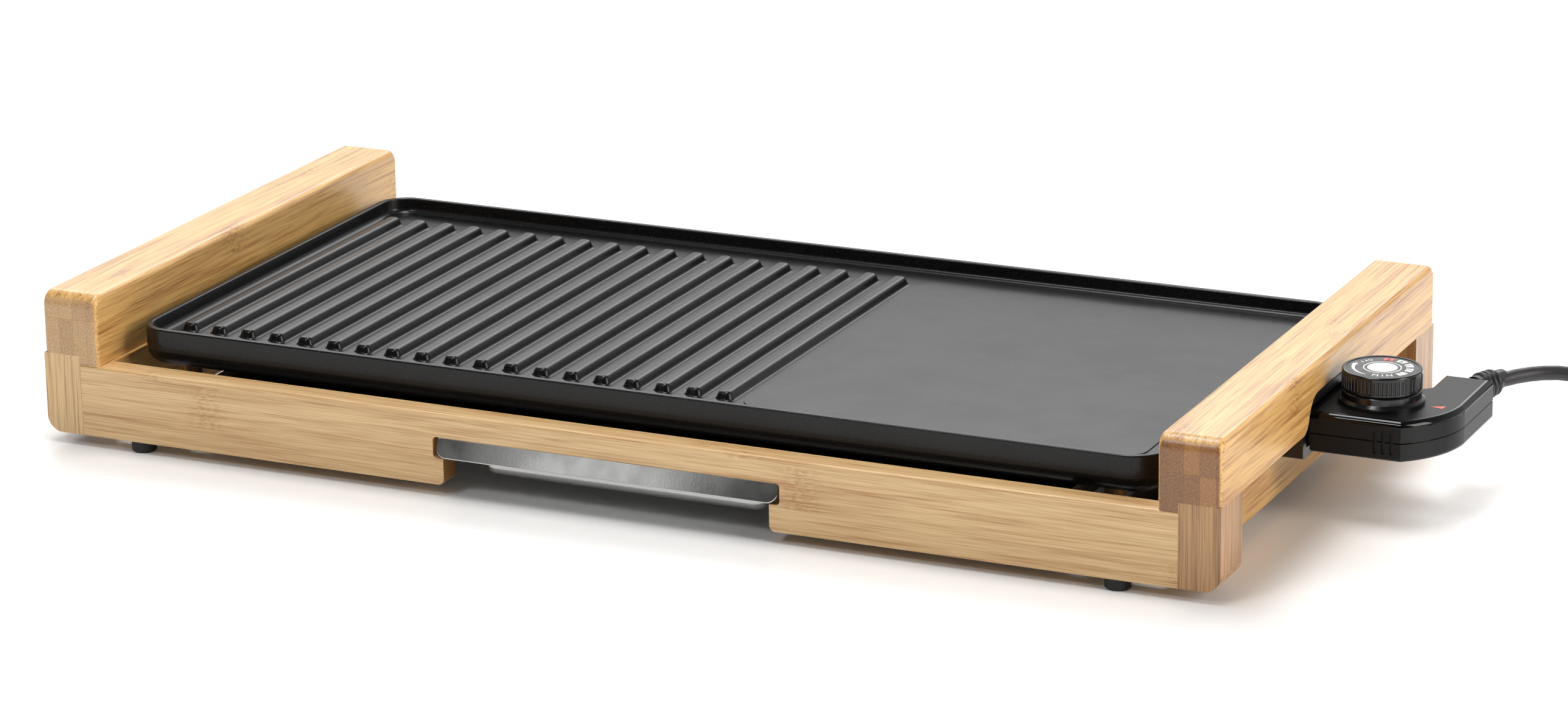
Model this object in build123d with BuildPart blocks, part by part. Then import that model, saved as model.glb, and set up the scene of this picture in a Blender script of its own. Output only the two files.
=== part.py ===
"""Electric griddle: cast plate in a bamboo frame, drip tray, plug-in thermostat and mains lead.

Millimetres, +Z up, floor at Z = 0 under the rubber feet. +X is the thermostat end and -Y the
drip tray side. Sketches are placed on planes that are centred on the bamboo frame.
"""
import os
from math import cos, pi, radians, sin, tan

from build123d import *

# ---------------------------------------------------------------- driving dimensions
FRAME_LEN = 600.0          # bamboo frame along X
FRAME_DEP = 297.0          # bamboo frame along Y
FRAME_TOP = 75.5           # top of the side beams
THERMO_REACH = 60.0        # thermostat beyond the frame's end
TRAY_PROUD = 1.2           # drip tray front beyond the front rail

FIT_GAP = 0.3              # between pieces that pass by each other
SPARE = 1.0                # how far a cut runs past the material
ROOT = 0.01                # how far a raised feature starts below its surface

FOOT_H = 5.5
FOOT_DIA = 12.0
FOOT_X = 250.0
FOOT_CHAMFER = 0.8
FOOT_RECESS = (3.4, 3.0)   # radius, depth
FOOT_HEAD = (3.2, 1.8)     # radius, height
FOOT_SCREW_BITE = 9.5
FOOT_SCREW_HOLE = 10.0

BEAM_W = 30.0
POST_W = 20.0
POST_DEP = 27.0
POST_TOP = 45.0
RAIL_TOP = 40.5
RAIL_T = 12.0
END_RAIL_BOT = 7.0
POST_FOOT_R = 8.0
BEAM_END_R = 7.0
BEAM_EDGE_R = 3.0
DOWEL_DIA = 8.0
DOWEL_LEN = 24.0
DOWEL_SHIFT = 6.0          # either side of the middle of a post
RAIL_EDGE_R = 1.0
END_RAIL_EDGE_R = 1.2

ARCH_HALF = 33.5           # arch through the right beam, half width along Y
ARCH_TOP = 61.0
ARCH_R = 12.0
ARCH_LIP_R = 8.0

SLOT_HALF = 88.75          # wide part of the tray slot in the front rail
SLOT_Z = (18.4, 28.9)
MOUTH_HALF = 83.5          # open part below it
SLOT_R = 2.0
MOUTH_R = 3.0

PLATE_LEN = 524.0
PLATE_DEP = 256.0
PLATE_BOT = 37.5
PLATE_TOP = 56.2
PLATE_FLOOR = 48.7
PLATE_CORNER_R = 16.0
PLATE_WALL = 3.2
PLATE_BASE_R = 8.0
POCKET_HALF = (222.0, 100.0)
POCKET_TOP = 44.4

RIB_COUNT = 19
RIB_PITCH = 15.88
RIB_FIRST_X = -246.5
RIB_BASE_W = 9.0
RIB_LEN = 207.5
RIB_BASE_R = 3.6
RIB_H = 4.0
RIB_TAPER = 21.0
RIB_TOP_R = 1.9
RIB_FOOT_R = 1.2
FLAT_X = (48.5, 247.0)     # smooth zone, very slightly raised
FLAT_HALF_Y = 107.0
FLAT_RISE = 0.5
FLAT_R = 9.0
FLAT_TAPER = 30.0
DISH_TAPER = 8.0
DISH_R = 3.0
RIM_R = 0.8
POCKET_R = 12.0

DRAIN_Y = -114.5
DRAIN_DIA = 8.0
SPOUT_DIA = 12.0
SPOUT_BOT = 31.0
SPOUT_ROOT = 1.0           # into the metal of the plate

SPACER_X = 238.0
SPACER_Y = 115.0
SPACER_DIA = 10.0
BAR_W = 20.0
BAR_T = 2.0
BAR_BOT = 15.0
BAR_TAB_TOP = 33.0
BOLT_DIA = 5.0
BOLT_TIP = 43.5
BOLT_HEAD_R = 4.6
BOLT_HEAD_H = 3.5

SCREW_DIA = 3.5
SCREW_HEAD_R = 3.4
SCREW_HEAD_H = 2.0
SCREW_BITE = 7.5           # into the bamboo
SCREW_HOLE_SPARE = 0.5
BAR_SCREW_X = 5.0          # either side of the middle of a cross bar
BAR_SCREW_DROP = 6.0       # below the top of its tab

SHIELD_HALF_X = 220.0
SHIELD_Z = (34.5, 35.5)
SHIELD_TAB_X = 150.0
SHIELD_TAB_W = 26.0
SHIELD_TAB_DROP = 9.0
SHIELD_SCREW_DROP = 4.5
SHIELD_R = 4.0
SHIELD_HOLE_GAP = 3.0      # round the drain spout
SHIELD_LIP_GAP = 5.0

RUNNER_T = 1.2
RUNNER_LEG = 13.2
RUNNER_X = 91.9            # middle of its upright web
RUNNER_LOW = 26.2          # middle of the lower leg
RUNNER_HIGH = 33.9         # middle of the upper leg
RUNNER_LEN = 150.0
RUNNER_FRONT_GAP = 0.5

TRAY_HALF_X = 75.0
TRAY_FLANGE_HALF = 87.6
TRAY_SETBACK = 17.0        # body behind the face of the front rail
TRAY_DEP = 130.0
TRAY_BOT = 6.2
TRAY_TOP = 28.4
TRAY_T = 1.2
TRAY_SKIRT_BOT = 19.1
TRAY_SKIRT_TILT = 24.0     # the skirt leans back towards its top
TRAY_CORNER_R = 5.5
TRAY_PAN_R = 9.0
TRAY_BASE_R = 5.0
TRAY_BACK_RIM = 9.0
TRAY_BEND_R = 1.0
TRAY_EDGE_R = 0.5

ELEMENT_DIA = 6.4
ELEMENT_Z = 41.1
ELEMENT_INSET = (24.0, 20.0)        # from the pocket walls
ELEMENT_BEND_R = 14.0
ELEMENT_HOLE_GAP = 0.3
TERMINAL_Y = 14.0
TERMINAL_INSET = 4.0       # start of the pins, inside the end of the plate
PIN_DIA = 4.0
PIN_LEN = 30.0
PIN_TIP_R = 1.0
BEAD_R = 4.2
BEAD_OUT = 2.4             # ceramic bead beyond the socket wall
PROBE_DIA = 4.0
PROBE_Z = 41.1
PROBE_START = 224.0
PROBE_LEN = 84.0
PROBE_TIP_R = 1.2
PROBE_HOLE_GAP = 0.4
PROBE_WALL_GAP = 1.0

SHROUD_X = (262.4, 296.0)
SHROUD_HALF_Y = 30.0
SHROUD_Z = (30.0, 56.5)
SHROUD_T = 1.6
SHROUD_R = 1.5
SHROUD_SCREW = (23.5, 41.5)         # y, z
SHROUD_SCREW_HEAD = (3.0, 1.8)      # radius, height
SHROUD_MOUTH = (25.6, 34.6, 52.4)   # half width, lower edge, upper edge

HOUSE_X0 = 298.0
HOUSE_HALF_Y = 27.0
HOUSE_BOT = 33.5
HOUSE_PART = 42.3
HOUSE_TOP = 52.6
HOUSE_WALL = 2.2
HOUSE_BEVEL = 3.2
NECK_END_Y = 51.0
NOSE_X = (268.0, 300.0)
NOSE_HALF_Y = 24.0
NOSE_Z = (36.0, 51.0)
NOSE_BORE_R = 3.6
HOUSE_BASE_R = 1.6
HOUSE_SEAM = 0.3           # chamfer that draws the parting line
SHOULDER_X = 341.0         # straight front side ends here
SHOULDER_MID = (353.6, -13.0)
SHOULDER_END_Y = 8.0
NECK_X = 336.5             # neck to the lead
NECK_BLEND_MID = (335.0, 1.5)
NECK_BLEND_END = (331.5, 5.0)
GRIP_X = 329.0
GRIP_PITCH = 3.9
GRIP_Z = 42.0
GRIP_SIZE = (11.0, 1.8, 0.8)        # height, width, depth
BOSS_SPOTS = [(306.0, -20.5), (306.0, 20.5), (347.0, 36.0)]
BOSS_R = (4.0, 3.4)        # lower half, upper half
BOSS_SCREW_DIA = 3.0
BOSS_HEAD_DIA = 6.0
BOSS_HEAD_DEPTH = 2.6
HOUSE_SCREW_HEAD_R = 2.8
HOUSE_SCREW_HEAD_H = 1.8
HOUSE_SCREW_BITE = 6.5
POINTER_SPOT = (349.3, 1.6)
POINTER_SHAPE = [(-3.4, -1.0), (2.6, -2.4), (3.2, 1.6)]
POINTER_DEPTH = 0.5
POINTER_T = 0.6
SLEEVE_R = 3.5
SLEEVE_GAP = 0.05
SLEEVE_LEN = 31.0
SWITCH_X = 320.0
SWITCH_SIZE = (24.0, 22.0, 9.6)
SWITCH_R = 1.5
CLAMP_SPOT = (348.0, 44.5)
CLAMP_SIZE = (17.0, 6.0, 6.2)

DIAL_X = 323.0
DIAL_Y = 0.0
DIAL_R = 18.4
DIAL_BOT = 59.6
DIAL_TOP = 69.0
DIAL_FLUTES = 60
FLUTE_R = 0.55
FLUTE_OUT = 0.15           # middle of a flute beyond the dial's side
FLUTE_BOT = 1.2
FLUTE_H = 6.2
DIAL_TOP_R = 0.9
DIAL_FOOT_R = 0.5
DISC_RIM = 1.9
DISC_DEPTH = 0.7
DISC_T = 0.4
SHAFT_DIA = 6.0
SHAFT_BORE = 6.6
SHAFT_IN = 6.0             # into the dial
SHAFT_FOOT_GAP = 0.2       # above the switch
COLLAR_R = 18.3
COLLAR_FOOT_R = 19.8
COLLAR_FOOT_H = 2.6
COLLAR_GAP = 0.4           # below the dial
COLLAR_CHAMFER = 0.6

CORD_DIA = 7.0
CORNER_SHARE = 0.45        # of the shorter run, taken up by an arc
CORD_START = (321.0, 52.6, 46.0)
CORD_ROUTE = [
    CORD_START,
    (331.6, 81.6, 47.8),
    (369.0, 95.6, 46.8),
    (405.0, 105.9, 4.4),
    (438.4, 114.2, 4.4),
]
COIL_CENTRE = (476.7, 77.3)
COIL_R = 35.7              # middle of the turns
COIL_HALF_W = 12.8
COIL_Z = (0.8, 14.8)
COIL_EDGE_R = 3.0
TIE_ANGLE = 205.0
TIE_GAP = (0.7, 0.2)       # across and above the turns
TIE_T = 0.6
TIE_HALF_W = 5.0
TIE_R = (3.6, 2.8)         # outside, inside
BOOT_START = -2.5
BOOT_END = 21.0
BOOT_R = (6.2, 4.6)
BOOT_RINGS = 3
RING_START = 7.0
RING_PITCH = 4.2
RING_W = 2.2
RING_R = 7.0
RING_STEP = 0.3            # each ring is smaller than the one before
CORD_BORE_GAP = 0.4        # lead in its boot
CORD_BORE_R = 3.8          # lead through the housing
TAIL_ROUTE = [(520.7, 49.2, 11.0), (518.3, 30.5, 12.0), (516.7, 14.0, 18.6)]
PLUG_HEAD_R = 18.5
PLUG_PIN_DIA = 4.8
PLUG_PIN_LEN = 19.0
PLUG_PIN_GAP = 19.0
PLUG_PIN_ROOT = 9.0
PLUG_NECK = [(2.2, 6.0), (14.0, 9.5), (24.0, 15.5)]     # distance from the entry, radius
PLUG_HEAD_T = 18.0

# ---------------------------------------------------------------- values worked out
CX = -THERMO_REACH / 2     # frame centre, so that the whole object is centred on the origin
CY = TRAY_PROUD / 2
HALF_LEN = FRAME_LEN / 2
HALF_DEP = FRAME_DEP / 2
RAIL_IN = HALF_DEP - RAIL_T
INNER_X = HALF_LEN - POST_W
RIB_LAST_X = RIB_FIRST_X + RIB_PITCH * (RIB_COUNT - 1)
SIDES = (-1, 1)
CORNERS = [(sx, sy) for sx in SIDES for sy in SIDES]
PLUG_FACE = PLUG_NECK[-1][0] + PLUG_HEAD_T
TERMINALS = [(side * TERMINAL_Y, ELEMENT_Z) for side in SIDES]

os.makedirs("parts", exist_ok=True)


def level(height):
    """Horizontal plane at a height, centred on the frame."""
    return Plane(origin=(CX, CY, height))


def facing_front(y):
    """Upright plane across the frame: local x along +X, local y up, normal -Y."""
    return Plane(origin=(CX, CY + y, 0), x_dir=(1, 0, 0), z_dir=(0, -1, 0))


def facing_right(x):
    """Upright plane along the frame's end: local x along +Y, local y up, normal +X."""
    return Plane(origin=(CX + x, CY, 0), x_dir=(0, 1, 0), z_dir=(1, 0, 0))


def save(builder, label):
    """Name a finished piece and write it out."""
    builder.part.label = label
    export_step(builder.part, f"parts/{label}.step")


# ---------------------------------------------------------------- bamboo frame
def dowel_spots():
    """Two dowels stand in the top of each post."""
    return [
        (sx * (HALF_LEN - POST_W / 2), sy * (HALF_DEP - POST_DEP / 2) + shift)
        for sx, sy in CORNERS
        for shift in (-DOWEL_SHIFT, DOWEL_SHIFT)
    ]


def cut_dowel_holes():
    with BuildSketch(level(POST_TOP)) as shape:
        with Locations(*dowel_spots()):
            Circle(DOWEL_DIA / 2)
    extrude(shape.sketch, amount=DOWEL_LEN / 2, both=True, mode=Mode.SUBTRACT)


def cut_arch():
    """Arch for the socket and the thermostat, with its lower lips rounded."""
    foot = RAIL_TOP - SPARE
    with BuildSketch(facing_right(HALF_LEN - BEAM_W - SPARE)) as shape:
        with BuildLine():
            Polyline(
                (-ARCH_HALF, foot),
                (-ARCH_HALF, ARCH_TOP),
                (ARCH_HALF, ARCH_TOP),
                (ARCH_HALF, foot),
                close=True,
            )
        make_face()
        fillet(shape.vertices().group_by(Axis.Y)[-1], ARCH_R)
        lip_top = POST_TOP + ARCH_LIP_R
        lip_x = ARCH_HALF + ARCH_LIP_R
        with Locations((0, (lip_top + foot) / 2)):
            Rectangle(2 * lip_x, lip_top - foot)
        with Locations((-lip_x, lip_top), (lip_x, lip_top)):
            Circle(ARCH_LIP_R, mode=Mode.SUBTRACT)
    extrude(shape.sketch, amount=BEAM_W + 2 * SPARE, mode=Mode.SUBTRACT)


def make_beam(side, label):
    with BuildPart() as beam:
        with BuildSketch(facing_front(HALF_DEP)):
            with BuildLine():
                Polyline(
                    (side * HALF_LEN, POST_TOP),
                    (side * HALF_LEN, FRAME_TOP),
                    (side * (HALF_LEN - BEAM_W), FRAME_TOP),
                    (side * (HALF_LEN - BEAM_W), RAIL_TOP),
                    (side * INNER_X, RAIL_TOP),
                    (side * INNER_X, POST_TOP),
                    close=True,
                )
            make_face()
        extrude(amount=FRAME_DEP)
        fillet(beam.edges().filter_by(Axis.X).group_by(Axis.Z)[-1], BEAM_END_R)
        fillet(beam.faces().sort_by(Axis.Z)[-1].edges().filter_by(Axis.Y), BEAM_EDGE_R)
        if side > 0:
            cut_arch()
        cut_dowel_holes()
    save(beam, label)


def make_post(sx, sy, label):
    with BuildPart() as post:
        with BuildSketch(facing_front(sy * HALF_DEP)) as outline:
            with Locations((sx * (HALF_LEN - POST_W / 2), (FOOT_H + POST_TOP) / 2)):
                Rectangle(POST_W, POST_TOP - FOOT_H)
            across = outline.vertices().group_by(Axis.X)
            outer = across[-1] if sx > 0 else across[0]
            fillet(outer.sort_by(Axis.Y)[0], POST_FOOT_R)
        extrude(amount=sy * POST_DEP)
        cut_dowel_holes()
    save(post, label)


def bar_screw_spots():
    """Places on a rail's inner face where the cross bars are screwed on: x, z."""
    return [(s * SPACER_X + d * BAR_SCREW_X, BAR_TAB_TOP - BAR_SCREW_DROP) for s in SIDES for d in SIDES]


def shield_screw_spots():
    """Places on a rail's inner face where the heat shield is screwed on: x, z."""
    return [(s * SHIELD_TAB_X, SHIELD_Z[0] - SHIELD_SCREW_DROP) for s in SIDES]


def cut_rail_holes(sy):
    with BuildSketch(facing_front(sy * RAIL_IN)) as shape:
        with Locations(*bar_screw_spots(), *shield_screw_spots()):
            Circle(SCREW_DIA / 2)
    extrude(shape.sketch, amount=-sy * (SCREW_BITE + SCREW_HOLE_SPARE), mode=Mode.SUBTRACT)
    with BuildSketch(level(FOOT_H)) as shape:
        with Locations(*[(s * FOOT_X, sy * (HALF_DEP - RAIL_T / 2)) for s in SIDES]):
            Circle(SCREW_DIA / 2)
    extrude(shape.sketch, amount=FOOT_SCREW_HOLE, mode=Mode.SUBTRACT)


def rail_block(sy):
    with BuildSketch(facing_front(sy * HALF_DEP)) as shape:
        with Locations((0, (FOOT_H + RAIL_TOP) / 2)):
            Rectangle(2 * INNER_X, RAIL_TOP - FOOT_H)
    extrude(shape.sketch, amount=sy * RAIL_T)


def make_front_rail():
    with BuildPart() as rail:
        rail_block(-1)
        top_edge = rail.edges().filter_by(Axis.X).group_by(Axis.Z)[-1].sort_by(Axis.Y)[0]
        fillet(top_edge, RAIL_EDGE_R)
        with BuildSketch(facing_front(-HALF_DEP)):
            with Locations((0, sum(SLOT_Z) / 2)):
                RectangleRounded(2 * SLOT_HALF, SLOT_Z[1] - SLOT_Z[0], SLOT_R)
            with Locations((0, (FOOT_H + sum(SLOT_Z) / 2) / 2)):
                Rectangle(2 * MOUTH_HALF, sum(SLOT_Z) / 2 - FOOT_H)
        extrude(amount=-RAIL_T, mode=Mode.SUBTRACT)
        lower = rail.edges().filter_by(Axis.Y).group_by(Axis.Z)[0]
        fillet([e for e in lower if abs(e.center().X - CX) < MOUTH_HALF + SPARE], MOUTH_R)
        cut_rail_holes(-1)
    save(rail, "front_rail")


def make_rear_rail():
    with BuildPart() as rail:
        rail_block(1)
        top_edge = rail.edges().filter_by(Axis.X).group_by(Axis.Z)[-1].sort_by(Axis.Y)[-1]
        fillet(top_edge, RAIL_EDGE_R)
        cut_rail_holes(1)
    save(rail, "rear_rail")


def cut_socket_notch():
    """The socket box passes through the top of the right end rail."""
    low = SHROUD_Z[0] - FIT_GAP
    high = RAIL_TOP + SPARE
    with BuildSketch(facing_right(INNER_X - RAIL_T - SPARE)) as shape:
        with Locations((0, (low + high) / 2)):
            Rectangle(2 * (SHROUD_HALF_Y + FIT_GAP), high - low)
    extrude(shape.sketch, amount=RAIL_T + 2 * SPARE, mode=Mode.SUBTRACT)


def make_end_rail(side, label):
    with BuildPart() as rail:
        with BuildSketch(level(END_RAIL_BOT)):
            with Locations((side * (INNER_X - RAIL_T / 2), 0)):
                Rectangle(RAIL_T, 2 * RAIL_IN)
        extrude(amount=RAIL_TOP - END_RAIL_BOT)
        lower = rail.edges().filter_by(Axis.Y).group_by(Axis.Z)[0]
        fillet(lower, END_RAIL_EDGE_R)
        if side > 0:
            cut_socket_notch()
    save(rail, label)


def make_dowels():
    with BuildPart() as dowels:
        with BuildSketch(level(POST_TOP)):
            with Locations(*dowel_spots()):
                Circle(DOWEL_DIA / 2)
        extrude(amount=DOWEL_LEN / 2, both=True)
    save(dowels, "frame_dowels")


# ---------------------------------------------------------------- feet
def foot_spots():
    return [(sx * FOOT_X, sy * (HALF_DEP - RAIL_T / 2)) for sx, sy in CORNERS]


def make_feet():
    with BuildPart() as feet:
        with BuildSketch(level(0)):
            with Locations(*foot_spots()):
                Circle(FOOT_DIA / 2)
        extrude(amount=FOOT_H)
        chamfer(feet.faces().group_by(Axis.Z)[0].edges(), FOOT_CHAMFER)
        with BuildSketch(level(0)):
            with Locations(*foot_spots()):
                Circle(FOOT_RECESS[0])
        extrude(amount=FOOT_RECESS[1], mode=Mode.SUBTRACT)
        with BuildSketch(level(0)):
            with Locations(*foot_spots()):
                Circle(SCREW_DIA / 2)
        extrude(amount=FOOT_H, mode=Mode.SUBTRACT)
    save(feet, "rubber_feet")


def make_foot_screws():
    with BuildPart() as screws:
        with BuildSketch(level(FOOT_RECESS[1] - FOOT_HEAD[1])):
            with Locations(*foot_spots()):
                Circle(FOOT_HEAD[0])
        extrude(amount=FOOT_HEAD[1])
        with BuildSketch(level(FOOT_RECESS[1])):
            with Locations(*foot_spots()):
                Circle(SCREW_DIA / 2)
        extrude(amount=FOOT_H + FOOT_SCREW_BITE - FOOT_RECESS[1])
    save(screws, "foot_screws")


# ---------------------------------------------------------------- plate and its supports
def support_spots():
    return [(sx * SPACER_X, sy * SPACER_Y) for sx, sy in CORNERS]


def cut_through(spots, dia, bottom, height):
    with BuildSketch(level(bottom)) as shape:
        with Locations(*spots):
            Circle(dia / 2)
    extrude(shape.sketch, amount=height, mode=Mode.SUBTRACT)


def make_cross_bar(side, label):
    """Flat steel bar from rail to rail, its ends turned up and screwed to them."""
    with BuildPart() as bar:
        with BuildSketch(facing_right(side * SPACER_X - BAR_W / 2)) as profile:
            with Locations((0, (BAR_BOT + BAR_TAB_TOP) / 2)):
                Rectangle(2 * RAIL_IN, BAR_TAB_TOP - BAR_BOT)
            fillet(profile.vertices().group_by(Axis.Y)[0], 2 * BAR_T)
            with Locations((0, (BAR_BOT + BAR_TAB_TOP) / 2 + BAR_T)):
                Rectangle(2 * (RAIL_IN - BAR_T), BAR_TAB_TOP - BAR_BOT, mode=Mode.SUBTRACT)
        extrude(amount=BAR_W)
        cut_through(support_spots(), BOLT_DIA, BAR_BOT, BAR_T)
        for sy in SIDES:
            with BuildSketch(facing_front(sy * (RAIL_IN - BAR_T))):
                with Locations(*bar_screw_spots()):
                    Circle(SCREW_DIA / 2)
            extrude(amount=-sy * BAR_T, mode=Mode.SUBTRACT)
    save(bar, label)


def make_rail_screws():
    """Pan-head screws: four in each cross bar and four in the heat shield's tabs."""
    with BuildPart() as screws:
        shield_face = RAIL_IN - (SHIELD_Z[1] - SHIELD_Z[0])
        for sy in SIDES:
            for group, face in ((bar_screw_spots(), RAIL_IN - BAR_T), (shield_screw_spots(), shield_face)):
                with BuildSketch(facing_front(sy * face)):
                    with Locations(*group):
                        Circle(SCREW_HEAD_R)
                extrude(amount=sy * SCREW_HEAD_H)
                with BuildSketch(facing_front(sy * face)):
                    with Locations(*group):
                        Circle(SCREW_DIA / 2)
                extrude(amount=-sy * (RAIL_IN + SCREW_BITE - face))
    save(screws, "rail_screws")


def make_spacers():
    with BuildPart() as spacers:
        with BuildSketch(level(BAR_BOT + BAR_T)):
            with Locations(*support_spots()):
                Circle(SPACER_DIA / 2)
                Circle(BOLT_DIA / 2, mode=Mode.SUBTRACT)
        extrude(amount=PLATE_BOT - BAR_BOT - BAR_T)
    save(spacers, "plate_spacers")


def make_bolts():
    with BuildPart() as bolts:
        with BuildSketch(level(BAR_BOT - BOLT_HEAD_H)):
            with Locations(*support_spots()):
                RegularPolygon(BOLT_HEAD_R, 6)
        extrude(amount=BOLT_HEAD_H)
        with BuildSketch(level(BAR_BOT)):
            with Locations(*support_spots()):
                Circle(BOLT_DIA / 2)
        extrude(amount=BOLT_TIP - BAR_BOT)
    save(bolts, "spacer_bolts")


def add_ribs():
    with BuildSketch(level(PLATE_FLOOR - ROOT)) as shape:
        for i in range(RIB_COUNT):
            with Locations((RIB_FIRST_X + i * RIB_PITCH, 0)):
                RectangleRounded(RIB_BASE_W, RIB_LEN, RIB_BASE_R)
    extrude(shape.sketch, amount=RIB_H, taper=RIB_TAPER)


def add_flat_zone():
    with BuildSketch(level(PLATE_FLOOR - ROOT)) as shape:
        with Locations(((FLAT_X[0] + FLAT_X[1]) / 2, 0)):
            RectangleRounded(FLAT_X[1] - FLAT_X[0], 2 * FLAT_HALF_Y, FLAT_R)
    extrude(shape.sketch, amount=FLAT_RISE, taper=FLAT_TAPER)


def element_route():
    """Heating tube under the plate: one loop from terminal to terminal."""
    left_x = ELEMENT_INSET[0] - POCKET_HALF[0]
    right_x = TERMINAL_INSET - left_x
    far_y = POCKET_HALF[1] - ELEMENT_INSET[1]
    end_x = PLATE_LEN / 2 - TERMINAL_INSET
    near_half = [(left_x, far_y), (right_x, far_y), (right_x, TERMINAL_Y), (end_x, TERMINAL_Y)]
    return [(x, -y) for x, y in reversed(near_half)] + near_half


def make_plate():
    with BuildPart() as plate:
        with BuildSketch(level(PLATE_BOT)):
            RectangleRounded(PLATE_LEN, PLATE_DEP, PLATE_CORNER_R)
        extrude(amount=PLATE_TOP - PLATE_BOT)
        fillet(plate.faces().sort_by(Axis.Z)[0].edges(), PLATE_BASE_R)
        with BuildSketch(level(PLATE_TOP)):
            dish = (PLATE_LEN - 2 * PLATE_WALL, PLATE_DEP - 2 * PLATE_WALL)
            RectangleRounded(*dish, PLATE_CORNER_R - PLATE_WALL)
        extrude(amount=PLATE_FLOOR - PLATE_TOP, taper=DISH_TAPER, mode=Mode.SUBTRACT)
        floor_face = plate.faces().filter_by(Plane.XY).group_by(Axis.Z)[1]
        fillet(floor_face.edges(), DISH_R)
        fillet(plate.faces().filter_by(Plane.XY).group_by(Axis.Z)[-1].edges(), RIM_R)
        add_ribs()
        fillet(plate.faces().filter_by(Plane.XY).group_by(Axis.Z)[-2].edges(), RIB_TOP_R)
        add_flat_zone()
        level_faces = plate.faces().filter_by(Plane.XY)
        cooking_floor = [f for f in level_faces if abs(f.center().Z - PLATE_FLOOR) < 2 * ROOT][0]
        outlines = [e for wire in cooking_floor.inner_wires() for e in wire.edges()]
        fillet([e for e in outlines if e.center().X < CX + FLAT_X[0]], RIB_FOOT_R)
        with BuildSketch(level(PLATE_BOT)):
            RectangleRounded(2 * POCKET_HALF[0], 2 * POCKET_HALF[1], POCKET_R)
        extrude(amount=POCKET_TOP - PLATE_BOT, mode=Mode.SUBTRACT)
        with BuildSketch(level(PLATE_BOT + SPOUT_ROOT)):
            with Locations((0, DRAIN_Y)):
                Circle(SPOUT_DIA / 2)
        extrude(amount=SPOUT_BOT - PLATE_BOT - SPOUT_ROOT)
        cut_through([(0, DRAIN_Y)], DRAIN_DIA, SPOUT_BOT, PLATE_TOP - SPOUT_BOT)
        cut_through(support_spots(), BOLT_DIA, PLATE_BOT, BOLT_TIP - PLATE_BOT)
        with BuildSketch(facing_right(PLATE_LEN / 2)):
            with Locations(*TERMINALS):
                Circle(ELEMENT_DIA / 2 + ELEMENT_HOLE_GAP)
            with Locations((0, PROBE_Z)):
                Circle(PROBE_DIA / 2 + PROBE_HOLE_GAP)
        extrude(amount=-(PLATE_LEN / 2 - POCKET_HALF[0] + SPARE), mode=Mode.SUBTRACT)
    save(plate, "griddle_plate")


def make_element():
    with BuildPart() as element:
        with BuildLine(level(ELEMENT_Z)) as route:
            FilletPolyline(*element_route(), radius=ELEMENT_BEND_R)
        with BuildSketch(Plane(origin=route.line @ 0, z_dir=route.line % 0)):
            Circle(ELEMENT_DIA / 2)
        sweep()
    save(element, "heating_element")


def make_terminal_pins():
    with BuildPart() as pins:
        with BuildSketch(facing_right(PLATE_LEN / 2 - TERMINAL_INSET)):
            with Locations(*TERMINALS):
                Circle(PIN_DIA / 2)
        extrude(amount=PIN_LEN)
        fillet(pins.faces().sort_by(Axis.X)[-2:].edges(), PIN_TIP_R)
    save(pins, "terminal_pins")


def make_insulators():
    """Ceramic beads where the terminals pass the back wall of the socket."""
    with BuildPart() as beads:
        with BuildSketch(facing_right(SHROUD_X[0])):
            with Locations(*TERMINALS):
                Circle(BEAD_R)
                Circle(PIN_DIA / 2, mode=Mode.SUBTRACT)
        extrude(amount=SHROUD_T + BEAD_OUT)
    save(beads, "terminal_insulators")


def shroud_screw_spots():
    return [(side * SHROUD_SCREW[0], SHROUD_SCREW[1]) for side in SIDES]


def make_shroud():
    """Open socket box on the end of the plate."""
    height = SHROUD_Z[1] - SHROUD_Z[0]
    middle = sum(SHROUD_Z) / 2
    length = SHROUD_X[1] - SHROUD_X[0]
    with BuildPart() as shroud:
        with BuildSketch(facing_right(SHROUD_X[0])):
            with Locations((0, middle)):
                RectangleRounded(2 * SHROUD_HALF_Y, height, SHROUD_R)
        extrude(amount=length)
        with BuildSketch(facing_right(SHROUD_X[0] + SHROUD_T)):
            with Locations((0, middle)):
                Rectangle(2 * (SHROUD_HALF_Y - SHROUD_T), height - 2 * SHROUD_T)
        extrude(amount=length - 2 * SHROUD_T, mode=Mode.SUBTRACT)
        half, low, high = SHROUD_MOUTH
        with BuildSketch(facing_right(SHROUD_X[1])):
            with Locations((0, (low + high) / 2)):
                Rectangle(2 * half, high - low)
        extrude(amount=-SHROUD_T, mode=Mode.SUBTRACT)
        with BuildSketch(facing_right(SHROUD_X[0])):
            with Locations(*TERMINALS):
                Circle(BEAD_R)
            with Locations((0, PROBE_Z)):
                Circle(PROBE_DIA / 2 + PROBE_WALL_GAP)
            with Locations(*shroud_screw_spots()):
                Circle(SCREW_DIA / 2)
        extrude(amount=SHROUD_T, mode=Mode.SUBTRACT)
    save(shroud, "socket_shroud")


def make_shroud_screws():
    with BuildPart() as screws:
        with BuildSketch(facing_right(SHROUD_X[0] + SHROUD_T)):
            with Locations(*shroud_screw_spots()):
                Circle(SHROUD_SCREW_HEAD[0])
        extrude(amount=SHROUD_SCREW_HEAD[1])
        with BuildSketch(facing_right(SHROUD_X[0] + SHROUD_T)):
            with Locations(*shroud_screw_spots()):
                Circle(SCREW_DIA / 2)
        extrude(amount=-(SHROUD_T + SHROUD_X[0] - PLATE_LEN / 2))
    save(screws, "socket_screws")


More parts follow.
